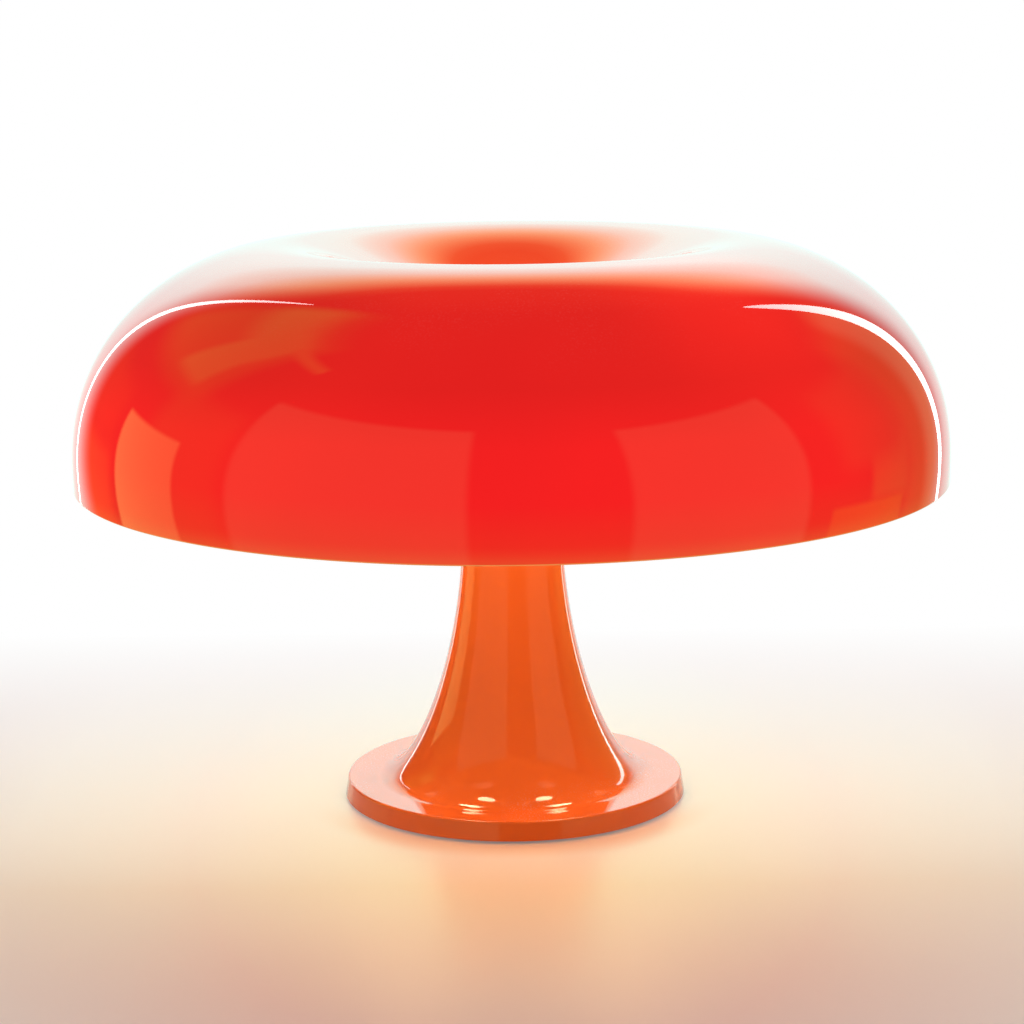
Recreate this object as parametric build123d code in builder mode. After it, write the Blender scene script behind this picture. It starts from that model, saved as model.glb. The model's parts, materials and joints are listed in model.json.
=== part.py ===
from build123d import *
import os
from math import cos, radians, sin

# Dome table lamp, in millimetres. The origin is on the table under the middle of the base, +Z is up,
# the front is towards -Y, and the cord enters the base at the back, at +Y.
# Heights are measured from the table. A pull is how far a curve keeps to the direction it starts in.

# Clearances
pin_gap = 0.05
seat_gap = 0.3
mould_gap = 0.25

# A bent wall's inner curve has its pulls changed by this share of the wall, which keeps it evenly thick.
bend_share = 0.55

# Shade
shade_radius = 270.0
shade_top = 350.0
shade_rim = 206.0
shade_side = 15.0
shade_wall = 3.0
rim_edge = 1.0
shoulder_side_pull = 85.0
shoulder_crest_pull = 51.5
crest_radius = 143.0
dish_depth = 40.0
dish_floor_radius = 26.0
dish_crest_pull = 44.0
dish_floor_pull = 11.0

# Base shell: disc, flare and neck
disc_radius = 105.8
disc_top = 12.9
disc_edge = 1.5
skirt_flare = 1.9
skirt_gap = 1.2
disc_ledge = 18.1
flare_foot_pull = 28.6
flare_neck_pull = 72.5
flare_top = 173.2
neck_radius = 31.5
base_wall = 3.0

# Underside
foot_thickness = 1.4
foot_width = 11.0
cover_thickness = 2.0
cover_screw_inset = 21.8
cover_screw_count = 3
cover_screw_first_angle = 30.0
cover_screw_length = 7.0
countersink_radius = 3.0
countersink_depth = 1.5
boss_radius = 4.0

# Screws with pan heads, shared by the cord clamp and the hub
screw_radius = 1.5
screw_head_radius = 2.7
screw_head_height = 2.0
screw_slot_width = 0.8
screw_slot_depth = 0.9
screw_hole_extra = 1.0

# Ballast
ballast_edge_gap = 11.8
ballast_lift = 0.5
ballast_step_inset = 27.7
ballast_step_top = 22.0
ballast_slot_width = 30.0
ballast_slot_clearance = 4.0
ballast_recess_radius = 14.0

# Tie rod with its nuts and washers
rod_radius = 4.0
rod_hole_slack = 0.2
rod_end_gap = 1.0
rod_tail = 1.0
rod_reach = 10.0
rod_nut_flats = 13.0
rod_nut_height = 6.5
washer_radius = 10.0
washer_thickness = 1.6

# Cord inlet at the back of the disc
cord_radius = 2.6
cord_height = 6.4
cord_grip = 0.1
grommet_body_radius = 3.6
grommet_flange_radius = 4.4
grommet_flange = 1.6
grommet_bead_radius = 4.1
grommet_bead = 1.2
cord_hole_depth = 4.0

# Cord clamp
clamp_inset = 37.8
clamp_spacing = 16.0
clamp_squeeze = 0.4
clamp_post_radius = 3.2
clamp_length = 23.0
clamp_depth = 8.0
clamp_thickness = 2.4
clamp_screw_length = 5.0

# Terminal block
block_parting = 10.0
block_width = 18.0
block_length = 20.0
block_height = 12.0
block_edge = 1.0
terminal_spacing = 9.0
terminal_radius = 2.4
terminal_bore = 1.4
terminal_length = 16.0
terminal_screw_radius = 1.2
terminal_screw_spacing = 10.0
terminal_screw_sink = 0.4
block_peg_radius = 1.5
block_peg_height = 4.0
block_peg_spacing = 10.0

# Hub on the neck
hub_radius = 35.0
hub_flat = 31.0
hub_wall = 3.0
hub_height = 46.0
hub_cavity_radius = 29.5
hub_spigot_wall = 4.0
hub_spigot_height = 4.0
hub_cover_thickness = 3.0
hub_screw_circle = 32.3
hub_screw_length = 12.0
turret_radius = 22.0
turret_height = 34.5
shade_spigot_radius = 10.0
gasket_thickness = 1.5

# Cap nut
cap_radius = 20.0
cap_height = 16.0
cap_edge = 5.0
insert_flats = 12.0
insert_sink = 0.6

# Lampholders, measured outwards from the hub's flat
holder_count = 4
holder_first_angle = 45.0
holder_radius = 13.5
holder_seat_radius = 12.0
holder_length = 36.0
holder_edge = 1.0
rear_cap_length = 11.0
rear_cap_wall = 5.0
chamber_radius = 10.5
partition_thickness = 3.0
nipple_radius = 5.0
nipple_bore = 3.5
nipple_reach = 7.5
nipple_nut_flats = 14.0
nipple_nut_height = 3.5
shell_wall = 0.5
shell_recess = 2.0
shell_floor_bore = 5.2
shell_rivet_radius = 1.0
shell_rivet_place = 6.4
contact_radius = 3.0
contact_height = 1.2
contact_pin_radius = 1.1
contact_pin_place = 1.5
plate_thickness = 1.0
plate_width = 6.0
plate_parting = 0.3
contact_plate_height = 4.7
shell_plate_height = 7.3

# Bulbs, measured outwards from the tip of the contact
bulb_radius = 22.5
bulb_length = 78.0
glass_wall = 0.8
bulb_cap_radius = 6.95
bulb_cap_wall = 0.3
bulb_cap_start = 4.8
bulb_cap_end = 25.0
bulb_tip_radius = 2.4
bulb_tip_height = 1.2
insulator_radius = 4.2
insulator_collar = 1.4
glass_start = 9.0
ball_angle = 50.0
neck_pull = 8.0
ball_pull = 7.0
stem_radius = 2.2
stem_top = 38.0
filament_radius = 0.25
filament_spread = 6.0
filament_foot = 1.2
filament_reach = 54.0
filament_bend = 3.0

# Leads
lead_radius = 1.1
lead_offset = 1.3
lead_corner = 17.0
lead_bend = 16.0
live_riser_out = 14.0
riser_spacing = 2.6
live_riser_bend = 8.0
neutral_riser_bend = 6.0
terminal_bend = 8.0
riser_sweep = 40.0
riser_straight_top = 60.0
riser_straight_bottom = 110.0
riser_clearance = 8.0
wire_hole_radius = 3.4

# Heights and places that follow from the sizes above
ceiling = disc_top - base_wall
cover_top = foot_thickness + cover_thickness
cover_radius = disc_radius - base_wall
flare_foot_radius = disc_radius - disc_ledge
cover_screw_circle = disc_radius - cover_screw_inset
clamp_back = disc_radius - clamp_inset
clamp_seat = cord_height + cord_radius - clamp_squeeze
block_back = clamp_back - clamp_depth / 2 - block_parting - block_length / 2
riser_back = block_back - block_length / 2 - riser_clearance
terminal_height = cover_top + block_height / 2
ballast_radius = cover_radius - ballast_edge_gap
ballast_step_radius = flare_foot_radius - ballast_step_inset
ballast_slot_start = riser_back - ballast_slot_clearance
ballast_bottom = cover_top + ballast_lift
rod_bottom = cover_top + rod_end_gap
rod_nut_bottom = rod_bottom + rod_tail
rod_washer_bottom = rod_nut_bottom + rod_nut_height
ballast_recess_top = rod_washer_bottom + washer_thickness
dish_floor = shade_top - dish_depth
rod_top = dish_floor + rod_reach
gasket_top = dish_floor - shade_wall
turret_top = gasket_top - gasket_thickness
hub_cover_top = turret_top - turret_height
hub_top = hub_cover_top - hub_cover_thickness
neck_top = hub_top - hub_height
neck_bore = neck_radius - base_wall
hub_floor = neck_top + hub_wall
hub_inner_flat = hub_flat - hub_wall
bulb_height = (neck_top + hub_top) / 2
holder_mouth = hub_flat + holder_length
partition_back = hub_flat + rear_cap_length
partition_front = partition_back + partition_thickness
plate_back = partition_back - plate_thickness
shell_bore = bulb_cap_radius + seat_gap
shell_radius = shell_bore + shell_wall
bulb_start = partition_front + contact_height
holder_numbers = range(1, holder_count + 1)


def around(radius, count, first_angle=0.0):
    """Evenly spaced points on a circle."""
    angles = [radians(first_angle + 360.0 * n / count) for n in range(count)]
    return [(radius * cos(a), radius * sin(a)) for a in angles]


def holder_direction(number):
    """The direction in which a lampholder points away from the lamp's axis."""
    angle = radians(holder_first_angle + 360.0 * (number - 1) / holder_count)
    return Vector(cos(angle), sin(angle), 0)


def section_plane(number):
    """The upright plane through a lampholder's axis: x is up, y is outwards, z is sideways."""
    outwards = holder_direction(number)
    sideways = Vector(-outwards.Y, outwards.X, 0)
    return Plane(origin=(0, 0, bulb_height), x_dir=(0, 0, 1), z_dir=sideways)


def holder_axis(number):
    """The axis of a lampholder and its bulb."""
    return Axis((0, 0, bulb_height), holder_direction(number))


def face_plane(number, out):
    """The plane across a lampholder's axis at a distance from the lamp's axis: x is up, z is outwards."""
    outwards = holder_direction(number)
    return Plane(origin=Vector(0, 0, bulb_height) + outwards * out, x_dir=(0, 0, 1), z_dir=outwards)


def beside_holder(number, up, out, sideways):
    """A point given by its offsets from a lampholder's axis and its distance from the lamp's axis."""
    return section_plane(number).from_local_coords(Vector(up, out, sideways))


def pan_screw(length):
    """A pan-head screw with a slot, whose head stands on the origin and whose shank points down."""
    with BuildPart() as screw:
        Cylinder(screw_head_radius, screw_head_height, align=(Align.CENTER, Align.CENTER, Align.MIN))
        fillet(screw.edges().sort_by(Axis.Z)[-1], screw_slot_depth)
        Cylinder(screw_radius, length, align=(Align.CENTER, Align.CENTER, Align.MAX))
        with Locations((0, 0, screw_head_height)):
            Box(
                2 * screw_head_radius, screw_slot_width, screw_slot_depth,
                align=(Align.CENTER, Align.CENTER, Align.MAX), mode=Mode.SUBTRACT,
            )
    return screw.part


def washer(bottom):
    """A washer on the tie rod."""
    with BuildPart() as ring:
        with BuildSketch(Plane.XY.offset(bottom)):
            Circle(washer_radius)
            Circle(rod_radius + rod_hole_slack, mode=Mode.SUBTRACT)
        extrude(amount=washer_thickness)
    return ring


def rod_nut(bottom):
    """A hexagon nut on the tie rod."""
    with BuildPart() as nut:
        with BuildSketch(Plane.XY.offset(bottom)):
            RegularPolygon(rod_nut_flats / 2, 6, major_radius=False)
            Circle(rod_radius + pin_gap, mode=Mode.SUBTRACT)
        extrude(amount=rod_nut_height)
    return nut


def lead(points, bends):
    """A round insulated lead that follows straight runs joined by tangent arcs."""
    with BuildPart() as tube:
        with BuildLine() as route:
            FilletPolyline(*points, radius=bends)
        with BuildSketch(Plane(origin=route.line @ 0, z_dir=route.line % 0)):
            Circle(lead_radius)
        sweep()
    return tube.part


os.makedirs("parts", exist_ok=True)

# Shade: upright side, shoulder, crest and dish with a hole in its floor, all in one wall
with BuildPart() as shade:
    with BuildSketch(Plane.XZ):
        with BuildLine():
            side_top = shade_rim + shade_side
            hole_radius = shade_spigot_radius + seat_gap
            pull_change = bend_share * shade_wall
            outer_side = Line((shade_radius, shade_rim), (shade_radius, side_top))
            outer_shoulder = Bezier(
                outer_side @ 1,
                (shade_radius, side_top + shoulder_side_pull),
                (crest_radius + shoulder_crest_pull, shade_top),
                (crest_radius, shade_top),
            )
            upper_dish = Bezier(
                outer_shoulder @ 1,
                (crest_radius - dish_crest_pull, shade_top),
                (dish_floor_radius + dish_floor_pull, dish_floor),
                (dish_floor_radius, dish_floor),
            )
            upper_floor = Line(upper_dish @ 1, (hole_radius, dish_floor))
            hole_wall = Line(upper_floor @ 1, (hole_radius, gasket_top))
            lower_floor = Line(hole_wall @ 1, (dish_floor_radius, gasket_top))
            lower_dish = Bezier(
                lower_floor @ 1,
                (dish_floor_radius + dish_floor_pull + pull_change, gasket_top),
                (crest_radius - dish_crest_pull + pull_change, shade_top - shade_wall),
                (crest_radius, shade_top - shade_wall),
            )
            inner_shoulder = Bezier(
                lower_dish @ 1,
                (crest_radius + shoulder_crest_pull - pull_change, shade_top - shade_wall),
                (shade_radius - shade_wall, side_top + shoulder_side_pull - pull_change),
                (shade_radius - shade_wall, side_top),
            )
            inner_side = Line(inner_shoulder @ 1, (shade_radius - shade_wall, shade_rim))
            Line(inner_side @ 1, outer_side @ 0)
        make_face()
    revolve(axis=Axis.Z)
    fillet(shade.edges().group_by(Axis.Z)[0], rim_edge)
shade.part.label = "shade"
export_step(shade.part, "parts/shade.step")

# Base shell: skirt, disc, flare and neck in one moulding, open below and at the top
grommet_plane = Plane((0, disc_radius, cord_height), x_dir=(1, 0, 0), z_dir=(0, 1, 0))
with BuildPart() as base_shell:
    with BuildSketch(Plane.XZ):
        with BuildLine():
            foot_radius = disc_radius + skirt_flare
            pull_change = bend_share * base_wall
            outer_skirt = Line((foot_radius, skirt_gap), (disc_radius, disc_top))
            disc_line = Line(outer_skirt @ 1, (flare_foot_radius, disc_top))
            outer_flare = Bezier(
                disc_line @ 1,
                (flare_foot_radius - flare_foot_pull, disc_top),
                (neck_radius, flare_top - flare_neck_pull),
                (neck_radius, flare_top),
            )
            outer_neck = Line(outer_flare @ 1, (neck_radius, neck_top))
            neck_end = Line(outer_neck @ 1, (neck_bore, neck_top))
            inner_neck = Line(neck_end @ 1, (neck_bore, flare_top))
            inner_flare = Bezier(
                inner_neck @ 1,
                (neck_bore, flare_top - flare_neck_pull - pull_change),
                (flare_foot_radius - flare_foot_pull - pull_change, ceiling),
                (flare_foot_radius, ceiling),
            )
            ceiling_line = Line(inner_flare @ 1, (disc_radius - base_wall, ceiling))
            inner_skirt = Line(ceiling_line @ 1, (foot_radius - base_wall, skirt_gap))
            Line(inner_skirt @ 1, outer_skirt @ 0)
        make_face()
    revolve(axis=Axis.Z)
    shell_circles = base_shell.edges().filter_by(GeomType.CIRCLE)
    disc_circles = shell_circles.filter_by_position(Axis.Z, disc_top, disc_top)
    fillet(disc_circles.sort_by(SortBy.RADIUS)[-1], disc_edge)
    with BuildSketch(Plane.XY.offset(cover_top)):
        with Locations(*around(cover_screw_circle, cover_screw_count, cover_screw_first_angle)):
            Circle(boss_radius)
    extrude(amount=disc_top - base_wall / 2 - cover_top)
    with BuildSketch(Plane.XY.offset(cover_top)):
        with Locations(*around(cover_screw_circle, cover_screw_count, cover_screw_first_angle)):
            Circle(screw_radius + pin_gap)
    extrude(amount=ceiling - cover_top, mode=Mode.SUBTRACT)
    with BuildSketch(grommet_plane):
        Circle(grommet_body_radius + pin_gap)
    extrude(amount=-base_wall, mode=Mode.SUBTRACT)
    with BuildSketch(grommet_plane.offset(-base_wall)):
        Circle(grommet_bead_radius + pin_gap)
    extrude(amount=-cord_hole_depth, mode=Mode.SUBTRACT)
    with BuildSketch(grommet_plane):
        Circle(grommet_flange_radius + pin_gap)
    extrude(amount=skirt_flare + grommet_flange, mode=Mode.SUBTRACT)
base_shell.part.label = "base_shell"
export_step(base_shell.part, "parts/base_shell.step")

# Underside: cover with its clamp posts, block pegs and cord notch, rubber foot ring and cover screws
cover_screw_places = around(cover_screw_circle, cover_screw_count, cover_screw_first_angle)
clamp_places = [(-clamp_spacing / 2, clamp_back), (clamp_spacing / 2, clamp_back)]
block_peg_places = [(0, block_back - block_peg_spacing / 2), (0, block_back + block_peg_spacing / 2)]
with BuildPart() as base_cover:
    with BuildSketch(Plane.XY.offset(foot_thickness)):
        Circle(cover_radius)
    extrude(amount=cover_thickness)
    with BuildSketch(Plane.XY.offset(cover_top)):
        with Locations(*clamp_places):
            Circle(clamp_post_radius)
    extrude(amount=clamp_seat - cover_top)
    with BuildSketch(Plane.XY.offset(cover_top)):
        with Locations(*block_peg_places):
            Circle(block_peg_radius)
    extrude(amount=block_peg_height)
    with BuildSketch(Plane.XY.offset(clamp_seat)):
        with Locations(*clamp_places):
            Circle(screw_radius + pin_gap)
    extrude(amount=-clamp_screw_length, mode=Mode.SUBTRACT)
    with BuildSketch(Plane.XY.offset(cover_top)):
        with Locations((0, cover_radius)):
            Rectangle(2 * (grommet_bead_radius + seat_gap), 2 * (grommet_bead + seat_gap))
    extrude(amount=-cover_thickness, mode=Mode.SUBTRACT)
    underside = Plane(origin=(0, 0, foot_thickness), x_dir=(1, 0, 0), z_dir=(0, 0, -1))
    with Locations(*[underside.location * Location((x, -y, 0)) for x, y in cover_screw_places]):
        CounterSinkHole(screw_radius + pin_gap, countersink_radius + pin_gap, cover_thickness, 90)
base_cover.part.label = "base_cover"
export_step(base_cover.part, "parts/base_cover.step")

with BuildPart() as foot_ring:
    with BuildSketch():
        Circle(cover_radius)
        Circle(cover_radius - foot_width, mode=Mode.SUBTRACT)
    extrude(amount=foot_thickness)
foot_ring.part.label = "foot_ring"
export_step(foot_ring.part, "parts/foot_ring.step")

with BuildPart() as cover_screw:
    with BuildSketch(Plane.XZ):
        with BuildLine():
            Polyline(
                (0, 0), (countersink_radius, 0), (screw_radius, countersink_depth),
                (screw_radius, cover_screw_length), (0, cover_screw_length), (0, 0),
            )
        make_face()
    revolve(axis=Axis.Z)
    with BuildSketch():
        Rectangle(2 * countersink_radius, screw_slot_width)
    extrude(amount=screw_slot_depth, mode=Mode.SUBTRACT)
with BuildPart() as cover_screws:
    with Locations(*[(x, y, foot_thickness) for x, y in cover_screw_places]):
        add(cover_screw.part)
cover_screws.part.label = "cover_screws"
export_step(cover_screws.part, "parts/cover_screws.step")

# Ballast: a stepped iron disc with a recess for the rod nut, a slot for the cord side and boss holes
with BuildPart() as ballast_plate:
    with BuildSketch(Plane.XY.offset(ballast_bottom)):
        Circle(ballast_radius)
    extrude(amount=ceiling - ballast_bottom)
    with BuildSketch(Plane.XY.offset(ceiling)):
        Circle(ballast_step_radius)
    extrude(amount=ballast_step_top - ceiling)
    with BuildSketch(Plane.XY.offset(ballast_bottom)):
        with Locations((0, ballast_slot_start)):
            Rectangle(ballast_slot_width, ballast_radius, align=(Align.CENTER, Align.MIN))
        Circle(rod_radius + rod_hole_slack)
        with Locations(*cover_screw_places):
            Circle(boss_radius + seat_gap)
    extrude(amount=ballast_step_top - ballast_bottom, mode=Mode.SUBTRACT)
    with BuildSketch(Plane.XY.offset(ballast_bottom)):
        Circle(ballast_recess_radius)
    extrude(amount=ballast_recess_top - ballast_bottom, mode=Mode.SUBTRACT)
ballast_plate.part.label = "ballast_plate"
export_step(ballast_plate.part, "parts/ballast_plate.step")

# Tie rod from the ballast to the cap nut, with a nut and a washer under the ballast and on the hub's floor
with BuildPart() as tie_rod:
    with BuildSketch(Plane.XY.offset(rod_bottom)):
        Circle(rod_radius)
    extrude(amount=rod_top - rod_bottom)
tie_rod.part.label = "tie_rod"
export_step(tie_rod.part, "parts/tie_rod.step")

lower_nut = rod_nut(rod_nut_bottom)
lower_nut.part.label = "lower_nut"
export_step(lower_nut.part, "parts/lower_nut.step")

lower_washer = washer(rod_washer_bottom)
lower_washer.part.label = "lower_washer"
export_step(lower_washer.part, "parts/lower_washer.step")

hub_washer = washer(hub_floor)
hub_washer.part.label = "hub_washer"
export_step(hub_washer.part, "parts/hub_washer.step")

hub_nut = rod_nut(hub_floor + washer_thickness)
hub_nut.part.label = "hub_nut"
export_step(hub_nut.part, "parts/hub_nut.step")

# Cord inlet: a rubber grommet with its flange outside the skirt and its bead inside
with BuildPart() as cord_grommet:
    with BuildSketch(grommet_plane):
        Circle(grommet_flange_radius)
    extrude(amount=grommet_flange)
    with BuildSketch(grommet_plane):
        Circle(grommet_body_radius)
    extrude(amount=-base_wall)
    with BuildSketch(grommet_plane.offset(-base_wall)):
        Circle(grommet_bead_radius)
    extrude(amount=-grommet_bead)
    with BuildSketch(grommet_plane.offset(grommet_flange)):
        Circle(cord_radius + cord_grip)
    extrude(amount=-(grommet_flange + base_wall + grommet_bead), mode=Mode.SUBTRACT)
cord_grommet.part.label = "cord_grommet"
export_step(cord_grommet.part, "parts/cord_grommet.step")

# Cord clamp: a bar on the cover's two posts, hollowed for the cord
with BuildPart() as cord_clamp:
    with BuildSketch(Plane.XY.offset(clamp_seat)):
        with Locations((0, clamp_back)):
            RectangleRounded(clamp_length, clamp_depth, clamp_post_radius)
    extrude(amount=clamp_thickness)
    with BuildSketch(Plane((0, clamp_back - clamp_depth, cord_height), x_dir=(1, 0, 0), z_dir=(0, 1, 0))):
        Circle(cord_radius)
    extrude(amount=2 * clamp_depth, mode=Mode.SUBTRACT)
    with BuildSketch(Plane.XY.offset(clamp_seat)):
        with Locations(*clamp_places):
            Circle(screw_radius + pin_gap)
    extrude(amount=clamp_thickness, mode=Mode.SUBTRACT)
cord_clamp.part.label = "cord_clamp"
export_step(cord_clamp.part, "parts/cord_clamp.step")

with BuildPart() as clamp_screws:
    with Locations(*[(x, y, clamp_seat + clamp_thickness) for x, y in clamp_places]):
        add(pan_screw(clamp_screw_length + clamp_thickness - screw_hole_extra))
clamp_screws.part.label = "clamp_screws"
export_step(clamp_screws.part, "parts/clamp_screws.step")

# Terminal block with two brass inserts, each with two screws
terminal_places = [(-terminal_spacing / 2, block_back), (terminal_spacing / 2, block_back)]
terminal_screw_places = [
    (x, y + side * terminal_screw_spacing / 2) for x, y in terminal_places for side in (-1, 1)
]
terminal_plane = Plane((0, block_back, terminal_height), x_dir=(1, 0, 0), z_dir=(0, 1, 0))
with BuildPart() as terminal_block:
    with BuildSketch(Plane.XY.offset(cover_top)):
        with Locations((0, block_back)):
            Rectangle(block_width, block_length)
    extrude(amount=block_height)
    fillet(terminal_block.edges().filter_by(Axis.Z), block_edge)
    with BuildSketch(terminal_plane):
        with Locations((-terminal_spacing / 2, 0), (terminal_spacing / 2, 0)):
            Circle(terminal_radius + pin_gap)
    extrude(amount=block_length, both=True, mode=Mode.SUBTRACT)
    with BuildSketch(Plane.XY.offset(cover_top + block_height)):
        with Locations(*terminal_screw_places):
            Circle(terminal_screw_radius + pin_gap)
    extrude(amount=-block_height / 2, mode=Mode.SUBTRACT)
    with BuildSketch(Plane.XY.offset(cover_top)):
        with Locations(*block_peg_places):
            Circle(block_peg_radius + pin_gap)
    extrude(amount=block_peg_height + seat_gap, mode=Mode.SUBTRACT)
terminal_block.part.label = "terminal_block"
export_step(terminal_block.part, "parts/terminal_block.step")

with BuildPart() as terminal_inserts:
    with BuildSketch(terminal_plane):
        with Locations((-terminal_spacing / 2, 0), (terminal_spacing / 2, 0)):
            Circle(terminal_radius)
            Circle(terminal_bore, mode=Mode.SUBTRACT)
    extrude(amount=terminal_length / 2, both=True)
    with BuildSketch(Plane.XY.offset(terminal_height)):
        with Locations(*terminal_screw_places):
            Circle(terminal_screw_radius + pin_gap)
    extrude(amount=2 * terminal_radius, mode=Mode.SUBTRACT)
terminal_inserts.part.label = "terminal_inserts"
export_step(terminal_inserts.part, "parts/terminal_inserts.step")

with BuildPart() as terminal_screws:
    with BuildSketch(Plane.XY.offset(terminal_height + lead_radius)):
        with Locations(*terminal_screw_places):
            Circle(terminal_screw_radius)
    extrude(amount=block_height / 2 - lead_radius - terminal_screw_sink)
    with BuildSketch(Plane.XY.offset(cover_top + block_height - terminal_screw_sink)):
        with Locations(*terminal_screw_places):
            Rectangle(2 * terminal_screw_radius, screw_slot_width)
    extrude(amount=-screw_slot_depth, mode=Mode.SUBTRACT)
terminal_screws.part.label = "terminal_screws"
export_step(terminal_screws.part, "parts/terminal_screws.step")

# Hub body: a drum on the neck with a flat for each lampholder, located by a spigot in the neck
hub_turn = holder_first_angle - 180.0 / holder_count
hub_screw_places = around(hub_screw_circle, holder_count, hub_turn)
wire_hole_out = live_riser_out + riser_spacing / 2
wire_hole = beside_holder(1, 0, wire_hole_out, -lead_offset)
with BuildPart() as hub_body:
    with BuildSketch(Plane.XY.offset(neck_top)):
        Circle(hub_radius)
        RegularPolygon(hub_flat, holder_count, major_radius=False, rotation=hub_turn, mode=Mode.INTERSECT)
    extrude(amount=hub_height)
    with BuildSketch(Plane.XY.offset(hub_floor)):
        Circle(hub_cavity_radius)
        RegularPolygon(
            hub_inner_flat, holder_count, major_radius=False, rotation=hub_turn, mode=Mode.INTERSECT
        )
    extrude(amount=hub_height, mode=Mode.SUBTRACT)
    with BuildSketch(Plane.XY.offset(neck_top)):
        Circle(neck_bore - mould_gap)
        Circle(neck_bore - mould_gap - hub_spigot_wall, mode=Mode.SUBTRACT)
    extrude(amount=-hub_spigot_height)
    with BuildSketch(Plane.XY.offset(neck_top)):
        Circle(rod_radius + rod_hole_slack)
        with Locations((wire_hole.X, wire_hole.Y)):
            Circle(wire_hole_radius)
    extrude(amount=hub_wall, mode=Mode.SUBTRACT)
    with BuildSketch(Plane.XY.offset(hub_top)):
        with Locations(*hub_screw_places):
            Circle(screw_radius + pin_gap)
    extrude(amount=-(hub_screw_length + screw_hole_extra), mode=Mode.SUBTRACT)
    for number in holder_numbers:
        with BuildSketch(face_plane(number, hub_flat)):
            Circle(nipple_radius + pin_gap)
        extrude(amount=-2 * hub_wall, mode=Mode.SUBTRACT)
hub_body.part.label = "hub_body"
export_step(hub_body.part, "parts/hub_body.step")

# Hub cover: a lid on the drum with the hollow turret that carries the shade
with BuildPart() as hub_cover:
    with BuildSketch(Plane.XZ):
        with BuildLine():
            turret_bore = turret_radius - hub_wall
            rod_hole = rod_radius + rod_hole_slack
            spigot_top = dish_floor - seat_gap
            Polyline(
                (turret_bore, hub_top), (hub_radius, hub_top), (hub_radius, hub_cover_top),
                (turret_radius, hub_cover_top), (turret_radius, turret_top),
                (shade_spigot_radius, turret_top), (shade_spigot_radius, spigot_top),
                (rod_hole, spigot_top), (rod_hole, turret_top - hub_wall),
                (turret_bore, turret_top - hub_wall), (turret_bore, hub_top),
            )
        make_face()
    revolve(axis=Axis.Z)
    with BuildSketch(Plane.XY.offset(hub_top)):
        RegularPolygon(hub_flat, holder_count, major_radius=False, rotation=hub_turn)
    extrude(amount=dish_floor - hub_top, mode=Mode.INTERSECT)
    with BuildSketch(Plane.XY.offset(hub_top)):
        with Locations(*hub_screw_places):
            Circle(screw_radius + pin_gap)
    extrude(amount=hub_cover_thickness, mode=Mode.SUBTRACT)
hub_cover.part.label = "hub_cover"
export_step(hub_cover.part, "parts/hub_cover.step")

with BuildPart() as hub_screws:
    with Locations(*[(x, y, hub_cover_top) for x, y in hub_screw_places]):
        add(pan_screw(hub_screw_length + hub_cover_thickness))
hub_screws.part.label = "hub_screws"
export_step(hub_screws.part, "parts/hub_screws.step")

# Top: gasket on the turret, cap nut in the dish and the brass insert that takes the rod's thread
with BuildPart() as shade_gasket:
    with BuildSketch(Plane.XY.offset(turret_top)):
        Circle(turret_radius)
        Circle(shade_spigot_radius + seat_gap, mode=Mode.SUBTRACT)
    extrude(amount=gasket_thickness)
shade_gasket.part.label = "shade_gasket"
export_step(shade_gasket.part, "parts/shade_gasket.step")

with BuildPart() as cap_nut:
    with BuildSketch(Plane.XY.offset(dish_floor)):
        Circle(cap_radius)
    extrude(amount=cap_height)
    fillet(cap_nut.edges().group_by(Axis.Z)[-1], cap_edge)
    with BuildSketch(Plane.XY.offset(dish_floor)):
        RegularPolygon(insert_flats / 2, 6, major_radius=False)
    extrude(amount=rod_reach + insert_sink, mode=Mode.SUBTRACT)
cap_nut.part.label = "cap_nut"
export_step(cap_nut.part, "parts/cap_nut.step")

with BuildPart() as cap_insert:
    with BuildSketch(Plane.XY.offset(dish_floor + insert_sink)):
        RegularPolygon(insert_flats / 2, 6, major_radius=False)
        Circle(rod_radius + pin_gap, mode=Mode.SUBTRACT)
    extrude(amount=rod_reach)
cap_insert.part.label = "cap_insert"
export_step(cap_insert.part, "parts/cap_insert.step")

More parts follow.
